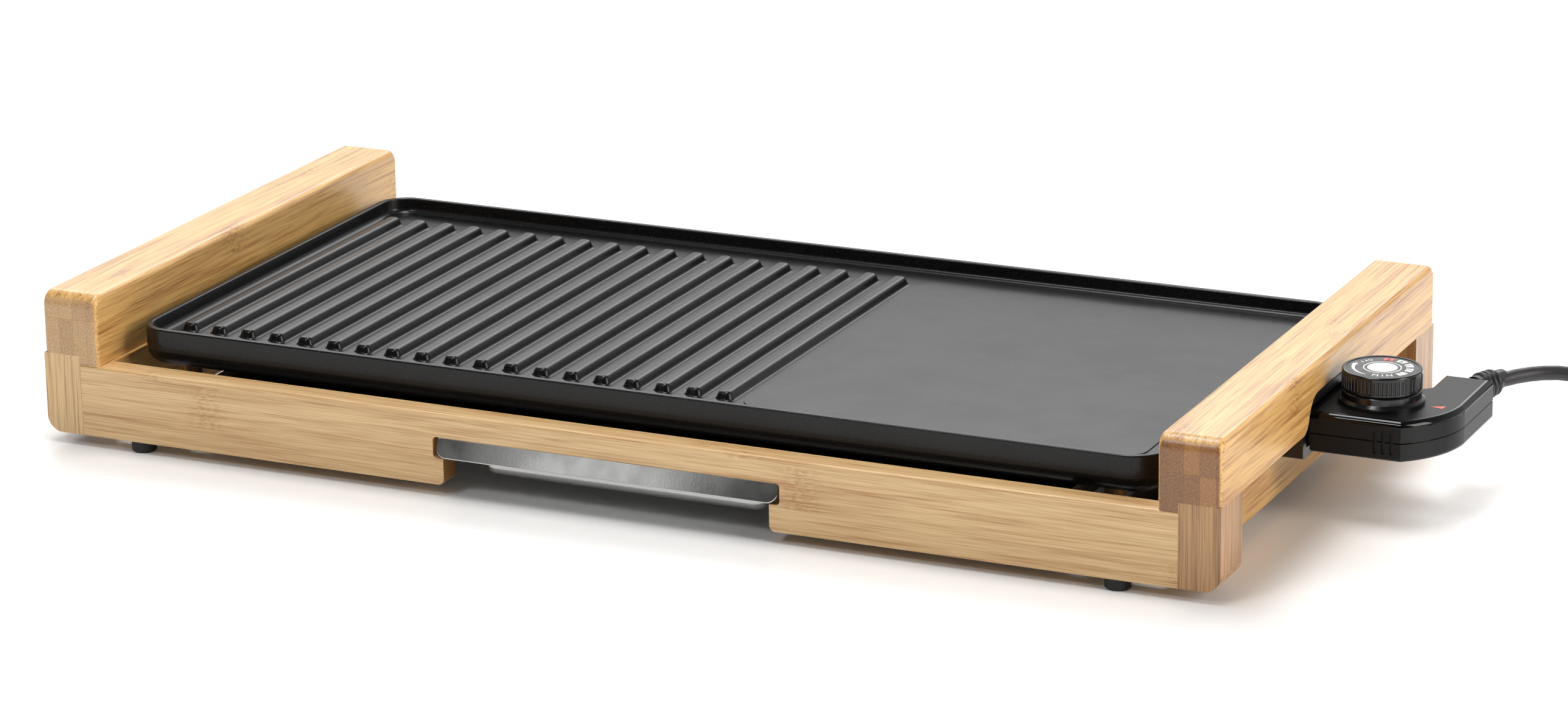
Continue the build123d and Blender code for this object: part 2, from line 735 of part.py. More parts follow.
def make_shield():
    """Thin heat shield below the plate, hung on the rails by four tabs."""
    thick = SHIELD_Z[1] - SHIELD_Z[0]
    with BuildPart() as shield:
        with BuildSketch(level(SHIELD_Z[0])):
            RectangleRounded(2 * SHIELD_HALF_X, 2 * RAIL_IN, SHIELD_R)
            with Locations((0, DRAIN_Y)):
                Circle(SPOUT_DIA / 2 + SHIELD_HOLE_GAP, mode=Mode.SUBTRACT)
        extrude(amount=thick)
        with BuildSketch(level(SHIELD_Z[0])):
            for sx in SIDES:
                with Locations((sx * (SHIELD_HALF_X - thick / 2), 0)):
                    Rectangle(thick, 2 * (RAIL_IN - SHIELD_LIP_GAP))
                for sy in SIDES:
                    with Locations((sx * SHIELD_TAB_X, sy * (RAIL_IN - thick / 2))):
                        Rectangle(SHIELD_TAB_W, thick)
        extrude(amount=-SHIELD_TAB_DROP)
        for sy in SIDES:
            with BuildSketch(facing_front(sy * (RAIL_IN - thick))):
                with Locations(*shield_screw_spots()):
                    Circle(SCREW_DIA / 2)
            extrude(amount=-sy * thick, mode=Mode.SUBTRACT)
    save(shield, "heat_shield")


def make_runner(side, label):
    """Z-section runner below the shield that carries one flange of the tray."""
    shift = (RUNNER_LEG - RUNNER_T) / 2
    with BuildPart() as runner:
        with BuildSketch(facing_front(-RAIL_IN + RUNNER_FRONT_GAP)):
            with Locations((side * (RUNNER_X - shift), RUNNER_LOW)):
                Rectangle(RUNNER_LEG, RUNNER_T)
            with Locations((side * RUNNER_X, (RUNNER_LOW + RUNNER_HIGH) / 2)):
                Rectangle(RUNNER_T, RUNNER_HIGH - RUNNER_LOW + RUNNER_T)
            with Locations((side * (RUNNER_X + shift), RUNNER_HIGH)):
                Rectangle(RUNNER_LEG, RUNNER_T)
        extrude(amount=-RUNNER_LEN)
    save(runner, label)


# ---------------------------------------------------------------- drip tray
def make_tray():
    body_front = -HALF_DEP + TRAY_SETBACK
    body_mid = body_front + TRAY_DEP / 2
    front = -HALF_DEP - TRAY_PROUD
    rim_back = body_front + TRAY_DEP + TRAY_BACK_RIM
    tilt = radians(TRAY_SKIRT_TILT)
    lean = Plane(origin=(CX, CY + front, TRAY_SKIRT_BOT), x_dir=(1, 0, 0), z_dir=(0, -cos(tilt), sin(tilt)))
    with BuildPart() as hollow:
        with BuildSketch(level(TRAY_BOT + TRAY_T)):
            with Locations((0, body_mid)):
                RectangleRounded(2 * (TRAY_HALF_X - TRAY_T), TRAY_DEP - 2 * TRAY_T, TRAY_PAN_R - TRAY_T)
        extrude(amount=TRAY_TOP - TRAY_BOT)
        fillet(hollow.faces().sort_by(Axis.Z)[0].edges(), TRAY_BASE_R - TRAY_T)
    with BuildPart() as tray:
        with BuildSketch(level(TRAY_BOT)):
            with Locations((0, body_mid)):
                RectangleRounded(2 * TRAY_HALF_X, TRAY_DEP, TRAY_PAN_R)
        extrude(amount=TRAY_TOP - TRAY_BOT)
        fillet(tray.faces().sort_by(Axis.Z)[0].edges(), TRAY_BASE_R)
        flange_front = front + (TRAY_TOP - TRAY_SKIRT_BOT) * tan(tilt)
        with BuildSketch(level(TRAY_TOP - TRAY_T)):
            with Locations((0, (flange_front + rim_back) / 2)):
                Rectangle(2 * TRAY_FLANGE_HALF, rim_back - flange_front)
        extrude(amount=TRAY_T)
        skirt_height = (TRAY_TOP - TRAY_SKIRT_BOT) / cos(tilt)
        with BuildSketch(lean) as skirt:
            with Locations((0, skirt_height / 2)):
                Rectangle(2 * TRAY_FLANGE_HALF, skirt_height)
            fillet(skirt.vertices().group_by(Axis.Y)[0], TRAY_CORNER_R)
        extrude(amount=-TRAY_T)
        top_edge = tray.edges().filter_by(Axis.X).group_by(Axis.Z)[-1].sort_by(Axis.Y)[0]
        fillet(top_edge, TRAY_BEND_R)
        face = tray.faces().filter_by(lambda f: (f.normal_at() - lean.z_dir).length < ROOT)[0]
        fillet(face.edges().filter_by(Axis.X).sort_by(Axis.Z)[0], TRAY_EDGE_R)
        add(hollow.part, mode=Mode.SUBTRACT)
    save(tray, "drip_tray")


# ---------------------------------------------------------------- thermostat
def house_outline(inset=0.0):
    """Plan of the housing: a block with a rounded shoulder and a neck to the cord."""
    right = THERMO_REACH + HALF_LEN - inset
    half = HOUSE_HALF_Y - inset
    neck_end = NECK_END_Y - inset
    shoulder = SHOULDER_X - inset / 2
    shoulder_mid = (SHOULDER_MID[0] - inset * 0.8, SHOULDER_MID[1] + inset / 2)
    blend_mid = (NECK_BLEND_MID[0] + inset, half + NECK_BLEND_MID[1])
    with BuildLine() as outline:
        Line((HOUSE_X0 + inset, half), (HOUSE_X0 + inset, -half))
        Line((HOUSE_X0 + inset, -half), (shoulder, -half))
        ThreePointArc((shoulder, -half), shoulder_mid, (right, SHOULDER_END_Y))
        Line((right, SHOULDER_END_Y), (right, neck_end))
        Line((right, neck_end), (NECK_X + inset, neck_end))
        Line((NECK_X + inset, neck_end), (NECK_X + inset, half + NECK_BLEND_END[1]))
        blend_top = (NECK_X + inset, half + NECK_BLEND_END[1])
        ThreePointArc(blend_top, blend_mid, (NECK_BLEND_END[0] + inset, half))
        Line((NECK_BLEND_END[0] + inset, half), (HOUSE_X0 + inset, half))
    make_face(outline.edges())


def grip_spots():
    return [(GRIP_X + GRIP_PITCH * i, GRIP_Z) for i in range(3)]


def cut_grips():
    """Three upright finger grooves at the front of the housing."""
    with BuildSketch(facing_front(-HOUSE_HALF_Y)) as shape:
        with Locations(*grip_spots()):
            SlotOverall(GRIP_SIZE[0], GRIP_SIZE[1], rotation=90)
    extrude(shape.sketch, amount=-GRIP_SIZE[2], mode=Mode.SUBTRACT)


def make_lower_housing():
    with BuildPart() as lower:
        with BuildSketch(level(HOUSE_BOT)):
            house_outline()
        extrude(amount=HOUSE_PART - HOUSE_BOT)
        fillet(lower.faces().sort_by(Axis.Z)[0].edges(), HOUSE_BASE_R)
        chamfer(lower.faces().sort_by(Axis.Z)[-1].edges(), HOUSE_SEAM)
        with BuildSketch(level(HOUSE_BOT + HOUSE_WALL)):
            house_outline(HOUSE_WALL)
        extrude(amount=HOUSE_PART - HOUSE_BOT - HOUSE_WALL, mode=Mode.SUBTRACT)
        with BuildSketch(facing_right(NOSE_X[0])):
            with Locations((0, (NOSE_Z[0] + HOUSE_PART) / 2)):
                Rectangle(2 * NOSE_HALF_Y, HOUSE_PART - NOSE_Z[0])
        extrude(amount=NOSE_X[1] - NOSE_X[0])
        with BuildSketch(level(HOUSE_BOT)):
            with Locations(*BOSS_SPOTS):
                Circle(BOSS_R[0])
        extrude(amount=HOUSE_PART - HOUSE_BOT)
        cut_through(BOSS_SPOTS, BOSS_HEAD_DIA, HOUSE_BOT, BOSS_HEAD_DEPTH)
        cut_through(BOSS_SPOTS, BOSS_SCREW_DIA, HOUSE_BOT, HOUSE_PART - HOUSE_BOT)
        cut_grips()
        cut_nose_bores()
        cut_cord_bore()
    save(lower, "thermostat_lower_housing")


def cut_nose_bores():
    with BuildSketch(facing_right(NOSE_X[0])) as shape:
        with Locations(*TERMINALS):
            Circle(NOSE_BORE_R)
        with Locations((0, PROBE_Z)):
            Circle(PROBE_DIA / 2)
    extrude(shape.sketch, amount=NOSE_X[1] - NOSE_X[0] + 2 * SPARE, mode=Mode.SUBTRACT)


def cut_cord_bore():
    with BuildSketch(facing_front(NECK_END_Y)) as shape:
        with Locations((CORD_START[0] - CX, CORD_START[2])):
            Circle(CORD_BORE_R)
    extrude(shape.sketch, amount=HOUSE_WALL + SPARE, mode=Mode.SUBTRACT)


def make_upper_housing():
    with BuildPart() as upper:
        with BuildSketch(level(HOUSE_PART)):
            house_outline()
        extrude(amount=HOUSE_TOP - HOUSE_PART)
        fillet(upper.faces().sort_by(Axis.Z)[-1].edges(), HOUSE_BEVEL)
        chamfer(upper.faces().sort_by(Axis.Z)[0].edges(), HOUSE_SEAM)
        with BuildSketch(level(HOUSE_PART)):
            house_outline(HOUSE_WALL)
        extrude(amount=HOUSE_TOP - HOUSE_PART - HOUSE_WALL, mode=Mode.SUBTRACT)
        with BuildSketch(facing_right(NOSE_X[0])):
            with Locations((0, (NOSE_Z[1] + HOUSE_PART) / 2)):
                Rectangle(2 * NOSE_HALF_Y, NOSE_Z[1] - HOUSE_PART)
        extrude(amount=NOSE_X[1] - NOSE_X[0])
        with BuildSketch(level(HOUSE_PART)):
            with Locations(*BOSS_SPOTS):
                Circle(BOSS_R[1])
        extrude(amount=HOUSE_TOP - HOUSE_PART - HOUSE_WALL)
        cut_through(BOSS_SPOTS, BOSS_SCREW_DIA, HOUSE_PART, HOUSE_SCREW_BITE + FIT_GAP)
        cut_grips()
        cut_nose_bores()
        cut_cord_bore()
        cut_through([(DIAL_X, DIAL_Y)], SHAFT_BORE, HOUSE_PART, HOUSE_TOP)
        with BuildSketch(level(HOUSE_TOP)):
            with Locations(POINTER_SPOT):
                Polygon(*POINTER_SHAPE, align=None)
        extrude(amount=-POINTER_DEPTH, mode=Mode.SUBTRACT)
    save(upper, "thermostat_upper_housing")


def make_pointer_mark():
    with BuildPart() as mark:
        with BuildSketch(level(HOUSE_TOP - POINTER_DEPTH)):
            with Locations(POINTER_SPOT):
                Polygon(*POINTER_SHAPE, align=None)
        extrude(amount=POINTER_T)
    save(mark, "pointer_mark")


def make_housing_screws():
    seat = HOUSE_BOT + BOSS_HEAD_DEPTH
    with BuildPart() as screws:
        with BuildSketch(level(seat - HOUSE_SCREW_HEAD_H)):
            with Locations(*BOSS_SPOTS):
                Circle(HOUSE_SCREW_HEAD_R)
        extrude(amount=HOUSE_SCREW_HEAD_H)
        with BuildSketch(level(seat)):
            with Locations(*BOSS_SPOTS):
                Circle(BOSS_SCREW_DIA / 2)
        extrude(amount=HOUSE_PART + HOUSE_SCREW_BITE - seat)
    save(screws, "housing_screws")


def make_contacts():
    """Brass sleeves in the nose that grip the terminal pins."""
    with BuildPart() as sleeves:
        with BuildSketch(facing_right(NOSE_X[0] + SPARE)):
            with Locations(*TERMINALS):
                Circle(SLEEVE_R)
                Circle(PIN_DIA / 2 + SLEEVE_GAP, mode=Mode.SUBTRACT)
        extrude(amount=SLEEVE_LEN)
    save(sleeves, "contact_sleeves")


def make_probe():
    with BuildPart() as probe:
        with BuildSketch(facing_right(PROBE_START)):
            with Locations((0, PROBE_Z)):
                Circle(PROBE_DIA / 2)
        extrude(amount=PROBE_LEN)
        fillet(probe.faces().sort_by(Axis.X)[0].edges(), PROBE_TIP_R)
    save(probe, "sensing_probe")


def make_switch():
    with BuildPart() as switch:
        with BuildSketch(level(HOUSE_BOT + HOUSE_WALL)):
            with Locations((SWITCH_X, 0)):
                Rectangle(SWITCH_SIZE[0], SWITCH_SIZE[1])
        extrude(amount=SWITCH_SIZE[2])
        fillet(switch.edges().filter_by(Axis.Z), SWITCH_R)
    save(switch, "thermostat_switch")


def make_cord_clamp():
    with BuildPart() as clamp:
        with BuildSketch(level(HOUSE_BOT + HOUSE_WALL)):
            with Locations(CLAMP_SPOT):
                Rectangle(CLAMP_SIZE[0], CLAMP_SIZE[1])
        extrude(amount=CLAMP_SIZE[2])
    save(clamp, "cord_clamp")


def make_collar():
    """Fixed collar that the dial turns on."""
    with BuildPart() as collar:
        with BuildSketch(level(HOUSE_TOP)):
            with Locations((DIAL_X, DIAL_Y)):
                Circle(COLLAR_FOOT_R)
        extrude(amount=COLLAR_FOOT_H)
        with BuildSketch(level(HOUSE_TOP)):
            with Locations((DIAL_X, DIAL_Y)):
                Circle(COLLAR_R)
        extrude(amount=DIAL_BOT - COLLAR_GAP - HOUSE_TOP)
        chamfer(collar.faces().filter_by(Plane.XY).group_by(Axis.Z)[1].edges(), COLLAR_CHAMFER)
        chamfer(collar.faces().sort_by(Axis.Z)[-1].edges(), COLLAR_CHAMFER)
        cut_through([(DIAL_X, DIAL_Y)], SHAFT_BORE, HOUSE_TOP, DIAL_BOT)
    save(collar, "dial_collar")


def make_dial():
    with BuildPart() as dial:
        with BuildSketch(level(DIAL_BOT)):
            with Locations((DIAL_X, DIAL_Y)):
                Circle(DIAL_R)
        extrude(amount=DIAL_TOP - DIAL_BOT)
        fillet(dial.faces().sort_by(Axis.Z)[-1].edges(), DIAL_TOP_R)
        fillet(dial.faces().sort_by(Axis.Z)[0].edges(), DIAL_FOOT_R)
        with BuildSketch(level(DIAL_BOT + FLUTE_BOT)):
            with Locations((DIAL_X, DIAL_Y)):
                with PolarLocations(DIAL_R + FLUTE_OUT, DIAL_FLUTES):
                    Circle(FLUTE_R)
        extrude(amount=FLUTE_H, mode=Mode.SUBTRACT)
        with BuildSketch(level(DIAL_TOP)):
            with Locations((DIAL_X, DIAL_Y)):
                Circle(DIAL_R - DISC_RIM)
        extrude(amount=-DISC_DEPTH, mode=Mode.SUBTRACT)
        cut_through([(DIAL_X, DIAL_Y)], SHAFT_DIA, DIAL_BOT, SHAFT_IN)
    save(dial, "dial_knob")


def make_dial_disc():
    with BuildPart() as disc:
        with BuildSketch(level(DIAL_TOP - DISC_DEPTH)):
            with Locations((DIAL_X, DIAL_Y)):
                Circle(DIAL_R - DISC_RIM)
        extrude(amount=DISC_T)
    save(disc, "dial_disc")


def make_dial_shaft():
    foot = HOUSE_BOT + HOUSE_WALL + SWITCH_SIZE[2] + SHAFT_FOOT_GAP
    with BuildPart() as shaft:
        with BuildSketch(level(foot)):
            with Locations((DIAL_X, DIAL_Y)):
                Circle(SHAFT_DIA / 2)
        extrude(amount=DIAL_BOT + SHAFT_IN - foot)
    save(shaft, "dial_shaft")


# ---------------------------------------------------------------- mains lead
def arc_radii(route):
    """One arc per corner, from a fixed share of the shorter run beside it."""
    radii = []
    for before, corner, after in zip(route, route[1:], route[2:]):
        arriving = Vector(*corner) - Vector(*before)
        leaving = Vector(*after) - Vector(*corner)
        turn = radians(arriving.get_angle(leaving))
        radii.append(CORNER_SHARE * min(arriving.length, leaving.length) / tan(turn / 2))
    return radii


def make_tube(route, label):
    radii = arc_radii(route)
    with BuildPart() as tube:
        with BuildLine():
            path = FilletPolyline(*route, radius=radii)
        with BuildSketch(Plane(origin=path @ 0, z_dir=path % 0)):
            Circle(CORD_DIA / 2)
        sweep()
    save(tube, label)
    ratio = tube.part.volume / (path.length * pi * CORD_DIA ** 2 / 4)
    print(label, "length", round(path.length, 1), "ratio", round(ratio, 3))
    print("radii", [round(radius, 1) for radius in radii])


def make_strain_relief():
    """Tapered boot with raised rings between the neck and the lead."""
    heading = Vector(*CORD_ROUTE[1]) - Vector(*CORD_START)
    axis = Plane(origin=CORD_START, z_dir=heading)
    with BuildPart() as boot:
        with BuildSketch(axis.offset(BOOT_START)):
            Circle(BOOT_R[0])
        with BuildSketch(axis.offset(BOOT_END)):
            Circle(BOOT_R[1])
        loft()
        for i in range(BOOT_RINGS):
            with BuildSketch(axis.offset(RING_START + RING_PITCH * i)):
                Circle(RING_R - RING_STEP * i)
            extrude(amount=RING_W)
        with BuildSketch(axis.offset(BOOT_START - SPARE)):
            Circle(CORD_DIA / 2 + CORD_BORE_GAP)
        extrude(amount=BOOT_END - BOOT_START + 2 * SPARE, mode=Mode.SUBTRACT)
        with BuildSketch(facing_front(NECK_END_Y)):
            with Locations((CORD_START[0] - CX, CORD_START[2])):
                Rectangle(4 * RING_R, 4 * RING_R)
        extrude(amount=RING_R, mode=Mode.SUBTRACT)
    save(boot, "strain_relief")


def make_coil():
    middle = (*COIL_CENTRE, 0)
    with BuildPart() as coil:
        with BuildSketch(Plane(origin=middle, x_dir=(1, 0, 0), z_dir=(0, -1, 0))):
            with Locations((COIL_R, sum(COIL_Z) / 2)):
                RectangleRounded(2 * COIL_HALF_W, COIL_Z[1] - COIL_Z[0], COIL_EDGE_R)
        revolve(axis=Axis(middle, (0, 0, 1)))
    save(coil, "cord_coil")


def make_coil_tie():
    """Strap round the turns."""
    angle = radians(TIE_ANGLE)
    spot_x = COIL_CENTRE[0] + COIL_R * cos(angle)
    spot_y = COIL_CENTRE[1] + COIL_R * sin(angle)
    spot = (spot_x, spot_y, sum(COIL_Z) / 2)
    side = (cos(angle), sin(angle), 0)
    along = (-sin(angle), cos(angle), 0)
    width = 2 * (COIL_HALF_W + TIE_GAP[0])
    height = COIL_Z[1] - COIL_Z[0] + 2 * TIE_GAP[1]
    with BuildPart() as tie:
        with BuildSketch(Plane(origin=spot, x_dir=side, z_dir=along)):
            RectangleRounded(width + 2 * TIE_T, height + 2 * TIE_T, TIE_R[0])
            RectangleRounded(width, height, TIE_R[1], mode=Mode.SUBTRACT)
        extrude(amount=TIE_HALF_W, both=True)
    save(tie, "coil_tie")


def plug_plane():
    """Plane at the cord entry of the plug, its normal along the pins."""
    entry, before = TAIL_ROUTE[-1], TAIL_ROUTE[-2]
    heading = Vector(entry[0] - before[0], entry[1] - before[1], 0)
    return Plane(origin=entry, x_dir=(0, 0, 1), z_dir=heading)


def make_plug_body():
    base = plug_plane()
    with BuildPart() as body:
        for distance, radius in PLUG_NECK:
            with BuildSketch(base.offset(distance)):
                Circle(radius)
        loft()
        with BuildSketch(base.offset(PLUG_NECK[-1][0])):
            Circle(PLUG_HEAD_R)
        extrude(amount=PLUG_HEAD_T)
        with BuildSketch(base.offset(PLUG_FACE)):
            with Locations((0, -PLUG_PIN_GAP / 2), (0, PLUG_PIN_GAP / 2)):
                Circle(PLUG_PIN_DIA / 2)
        extrude(amount=-PLUG_PIN_ROOT, mode=Mode.SUBTRACT)
    save(body, "plug_body")


def make_plug_pins():
    with BuildPart() as pins:
        with BuildSketch(plug_plane().offset(PLUG_FACE - PLUG_PIN_ROOT)):
            with Locations((0, -PLUG_PIN_GAP / 2), (0, PLUG_PIN_GAP / 2)):
                Circle(PLUG_PIN_DIA / 2)
        extrude(amount=PLUG_PIN_ROOT + PLUG_PIN_LEN)
    save(pins, "plug_pins")


def make_all():
    for side, name in ((-1, "left"), (1, "right")):
        make_beam(side, f"{name}_top_beam")
        make_end_rail(side, f"{name}_end_rail")
        make_cross_bar(side, f"{name}_cross_bar")
        make_runner(side, f"{name}_tray_runner")
        make_post(side, -1, f"front_{name}_post")
        make_post(side, 1, f"rear_{name}_post")
    make_front_rail()
    make_rear_rail()
    make_dowels()
    make_feet()
    make_foot_screws()
    make_rail_screws()
    make_spacers()
    make_bolts()
    make_plate()
    make_element()
    make_terminal_pins()
    make_insulators()
    make_shroud()
    make_shroud_screws()
    make_shield()
    make_tray()
    make_lower_housing()
    make_upper_housing()
    make_pointer_mark()
    make_housing_screws()
    make_contacts()
    make_probe()
    make_switch()
    make_cord_clamp()
    make_collar()
    make_dial()
    make_dial_disc()
    make_dial_shaft()
    make_strain_relief()
    make_tube(CORD_ROUTE, "cord_tube")
    make_coil()
    make_coil_tie()
    make_tube(TAIL_ROUTE, "cord_tail")
    make_plug_body()
    make_plug_pins()


make_all()
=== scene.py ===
"""Looks of the electric griddle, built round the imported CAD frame. Metres, +Z up, floor at Z = 0."""
from math import cos, pi, radians, sin

import bmesh
import bpy
from mathutils import Matrix, Vector


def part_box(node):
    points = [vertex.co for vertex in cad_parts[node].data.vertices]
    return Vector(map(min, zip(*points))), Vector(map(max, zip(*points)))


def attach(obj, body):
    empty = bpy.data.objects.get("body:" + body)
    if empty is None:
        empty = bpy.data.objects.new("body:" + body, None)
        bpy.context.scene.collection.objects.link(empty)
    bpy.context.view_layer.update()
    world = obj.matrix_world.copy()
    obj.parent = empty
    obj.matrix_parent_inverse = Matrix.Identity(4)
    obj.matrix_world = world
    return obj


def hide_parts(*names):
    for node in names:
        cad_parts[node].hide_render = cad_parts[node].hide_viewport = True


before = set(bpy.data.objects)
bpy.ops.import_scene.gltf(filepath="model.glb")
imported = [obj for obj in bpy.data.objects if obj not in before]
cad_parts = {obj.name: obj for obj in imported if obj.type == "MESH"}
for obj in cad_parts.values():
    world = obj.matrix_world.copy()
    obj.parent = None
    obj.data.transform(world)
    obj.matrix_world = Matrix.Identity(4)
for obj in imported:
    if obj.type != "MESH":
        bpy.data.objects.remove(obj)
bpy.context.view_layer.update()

MM = 0.001
scene = bpy.context.scene

# ---------------------------------------------------------------- camera
CAMERA_AT = (0.98415, -2.12172, 0.7691)
CAMERA_AZIMUTH = 25.04
CAMERA_ELEVATION = 17.33
CAMERA_ROLL = -0.786
CAMERA_LENS = 117.3
SENSOR_WIDTH = 36.0
CLIP_END = 50


def make_camera():
    data = bpy.data.cameras.new("camera")
    data.lens = CAMERA_LENS
    data.sensor_width = SENSOR_WIDTH
    data.clip_end = CLIP_END
    camera = bpy.data.objects.new("camera", data)
    scene.collection.objects.link(camera)
    turn = Matrix.Rotation(radians(CAMERA_AZIMUTH), 4, "Z")
    tilt = Matrix.Rotation(radians(90 - CAMERA_ELEVATION), 4, "X")
    roll = Matrix.Rotation(radians(CAMERA_ROLL), 4, "Z")
    camera.matrix_world = Matrix.Translation(CAMERA_AT) @ turn @ tilt @ roll
    scene.camera = camera


# ---------------------------------------------------------------- shader helpers
def srgb(red, green, blue):
    """Display colour from 0 to 255 as the shader's linear colour."""
    def linear(level):
        level /= 255
        return level / 12.92 if level <= 0.04045 else ((level + 0.055) / 1.055) ** 2.4

    return (linear(red), linear(green), linear(blue), 1.0)


def new_material(name, **settings):
    """A principled material and its tree; settings go on the shader's own sockets."""
    material = bpy.data.materials.new(name)
    material.use_nodes = True
    tree = material.node_tree
    shader = tree.nodes["Principled BSDF"]
    for socket, value in settings.items():
        shader.inputs[socket.replace("_", " ")].default_value = value
    return material, tree, shader


def fill(tree, node, inputs):
    for key, value in inputs.items():
        if isinstance(value, bpy.types.NodeSocket):
            tree.links.new(value, node.inputs[key])
        else:
            node.inputs[key].default_value = value


def add(tree, kind, inputs, **settings):
    node = tree.nodes.new(kind)
    for key, value in settings.items():
        setattr(node, key, value)
    fill(tree, node, inputs)
    return node


def calc(tree, operation, first, second=0.0, clamp=False):
    inputs = {0: first, 1: second}
    return add(tree, "ShaderNodeMath", inputs, operation=operation, use_clamp=clamp).outputs[0]


def blend(tree, factor, first, second):
    node = add(tree, "ShaderNodeMix", {0: factor, 6: first, 7: second}, data_type="RGBA")
    return node.outputs[2]


def between(tree, value, low, high, to_low=0.0, to_high=1.0):
    """Maps low..high to to_low..to_high, held at the ends."""
    inputs = {0: value, 1: low, 2: high, 3: to_low, 4: to_high}
    return add(tree, "ShaderNodeMapRange", inputs, interpolation_type="SMOOTHSTEP").outputs[0]


def noise(tree, place, scale, detail=3.0, rough=0.55):
    inputs = {"Vector": place, "Scale": scale, "Detail": detail, "Roughness": rough}
    return add(tree, "ShaderNodeTexNoise", inputs).outputs["Fac"]


def position(tree):
    return add(tree, "ShaderNodeTexCoord", {}).outputs["Object"]


def stretched(tree, place, factors):
    return add(tree, "ShaderNodeMapping", {"Vector": place, "Scale": factors}).outputs[0]


def bump(tree, shader, height, strength, depth):
    node = add(tree, "ShaderNodeBump", {"Height": height, "Strength": strength, "Distance": depth})
    tree.links.new(node.outputs[0], shader.inputs["Normal"])


# ---------------------------------------------------------------- bamboo
GRAIN_ORDER = {"X": (0, 1, 2), "Y": (1, 0, 2), "Z": (2, 0, 1)}   # along, across, across
LAMELLA = {"X": (0.0061, 0.0205), "Y": (0.0076, 0.0215), "Z": (0.0068, 0.0135)}
SEAM_WIDTH = 0.00022
NODE_SPACING = 0.31            # between a strip's bamboo joints
NODE_SHIFT = 3.7               # how far the strips' joints are scattered
NODE_HALF_BAND = 0.05          # of the spacing
FLECK_STRETCH = (330, 900, 900)
FLECK_LIMITS = (0.40, 0.60)
# Along the grain: how the noise is stretched, its detail and roughness, the levels between
# which it darkens the wood, and by how much.
GRAIN_MARKS = {
    "fibres": ((30, 2300, 2300), 2.0, 0.5, (0.42, 0.66), 0.44),
    "streaks": ((14, 620, 620), 4.0, 0.65, (0.45, 0.66), 0.40),
    "clouds": ((5, 110, 110), 2.0, 0.55, (0.5, 0.72), 0.3),
}
JOINT_DARKENING = 0.34
STRIP_DARKENING = 0.10
RUN_SHIFT = 2.0                # metres between one strip's grain and the next one's
PORE_SCALE = 1500              # dots in the end grain
PORE_LIMITS = (0.42, 0.62)
PORE_DARKENING = 0.36
END_STRIP_DARKENING = 0.42
END_FACING = (0.72, 0.86)      # how squarely a face crosses the grain before it shows end grain
SEAM_STRENGTH = (0.03, 0.5)    # along the grain, on the end grain
SEAM_SINK = 0.5                # of the height of the fibres
WOOD_BUMP = (0.25, 0.0002)     # strength, height


def from_middle(tree, place):
    """Distance from the middle of a repeat, 0.5 at its ends."""
    return calc(tree, "ABSOLUTE", calc(tree, "SUBTRACT", calc(tree, "FRACT", place), 0.5))


def lamella_numbers(tree, across, widths, shift):
    """The strip's two whole numbers and a seam value, 1 on a glue line."""
    counts, seams = [], []
    for value, width in zip(across, widths):
        place = calc(tree, "DIVIDE", calc(tree, "ADD", value, shift), width)
        counts.append(calc(tree, "FLOOR", place))
        edge = from_middle(tree, place)
        seams.append(between(tree, edge, 0.5 - SEAM_WIDTH / width, 0.5))
    return counts, calc(tree, "MAXIMUM", *seams)


def bamboo_joints(tree, along, across, tone):
    """Darker flecks where a strip passes a joint of the cane."""
    scatter = calc(tree, "MULTIPLY", tone, NODE_SHIFT)
    place = calc(tree, "ADD", calc(tree, "DIVIDE", along, NODE_SPACING), scatter)
    offset = from_middle(tree, place)
    band = between(tree, offset, 0.0, NODE_HALF_BAND, 1.0, 0.0)
    spot = add(tree, "ShaderNodeCombineXYZ", {0: along, 1: across[0], 2: across[1]}).outputs[0]
    flecks = noise(tree, stretched(tree, spot, FLECK_STRETCH), 1.0, 2.0)
    return calc(tree, "MULTIPLY", band, between(tree, flecks, *FLECK_LIMITS))


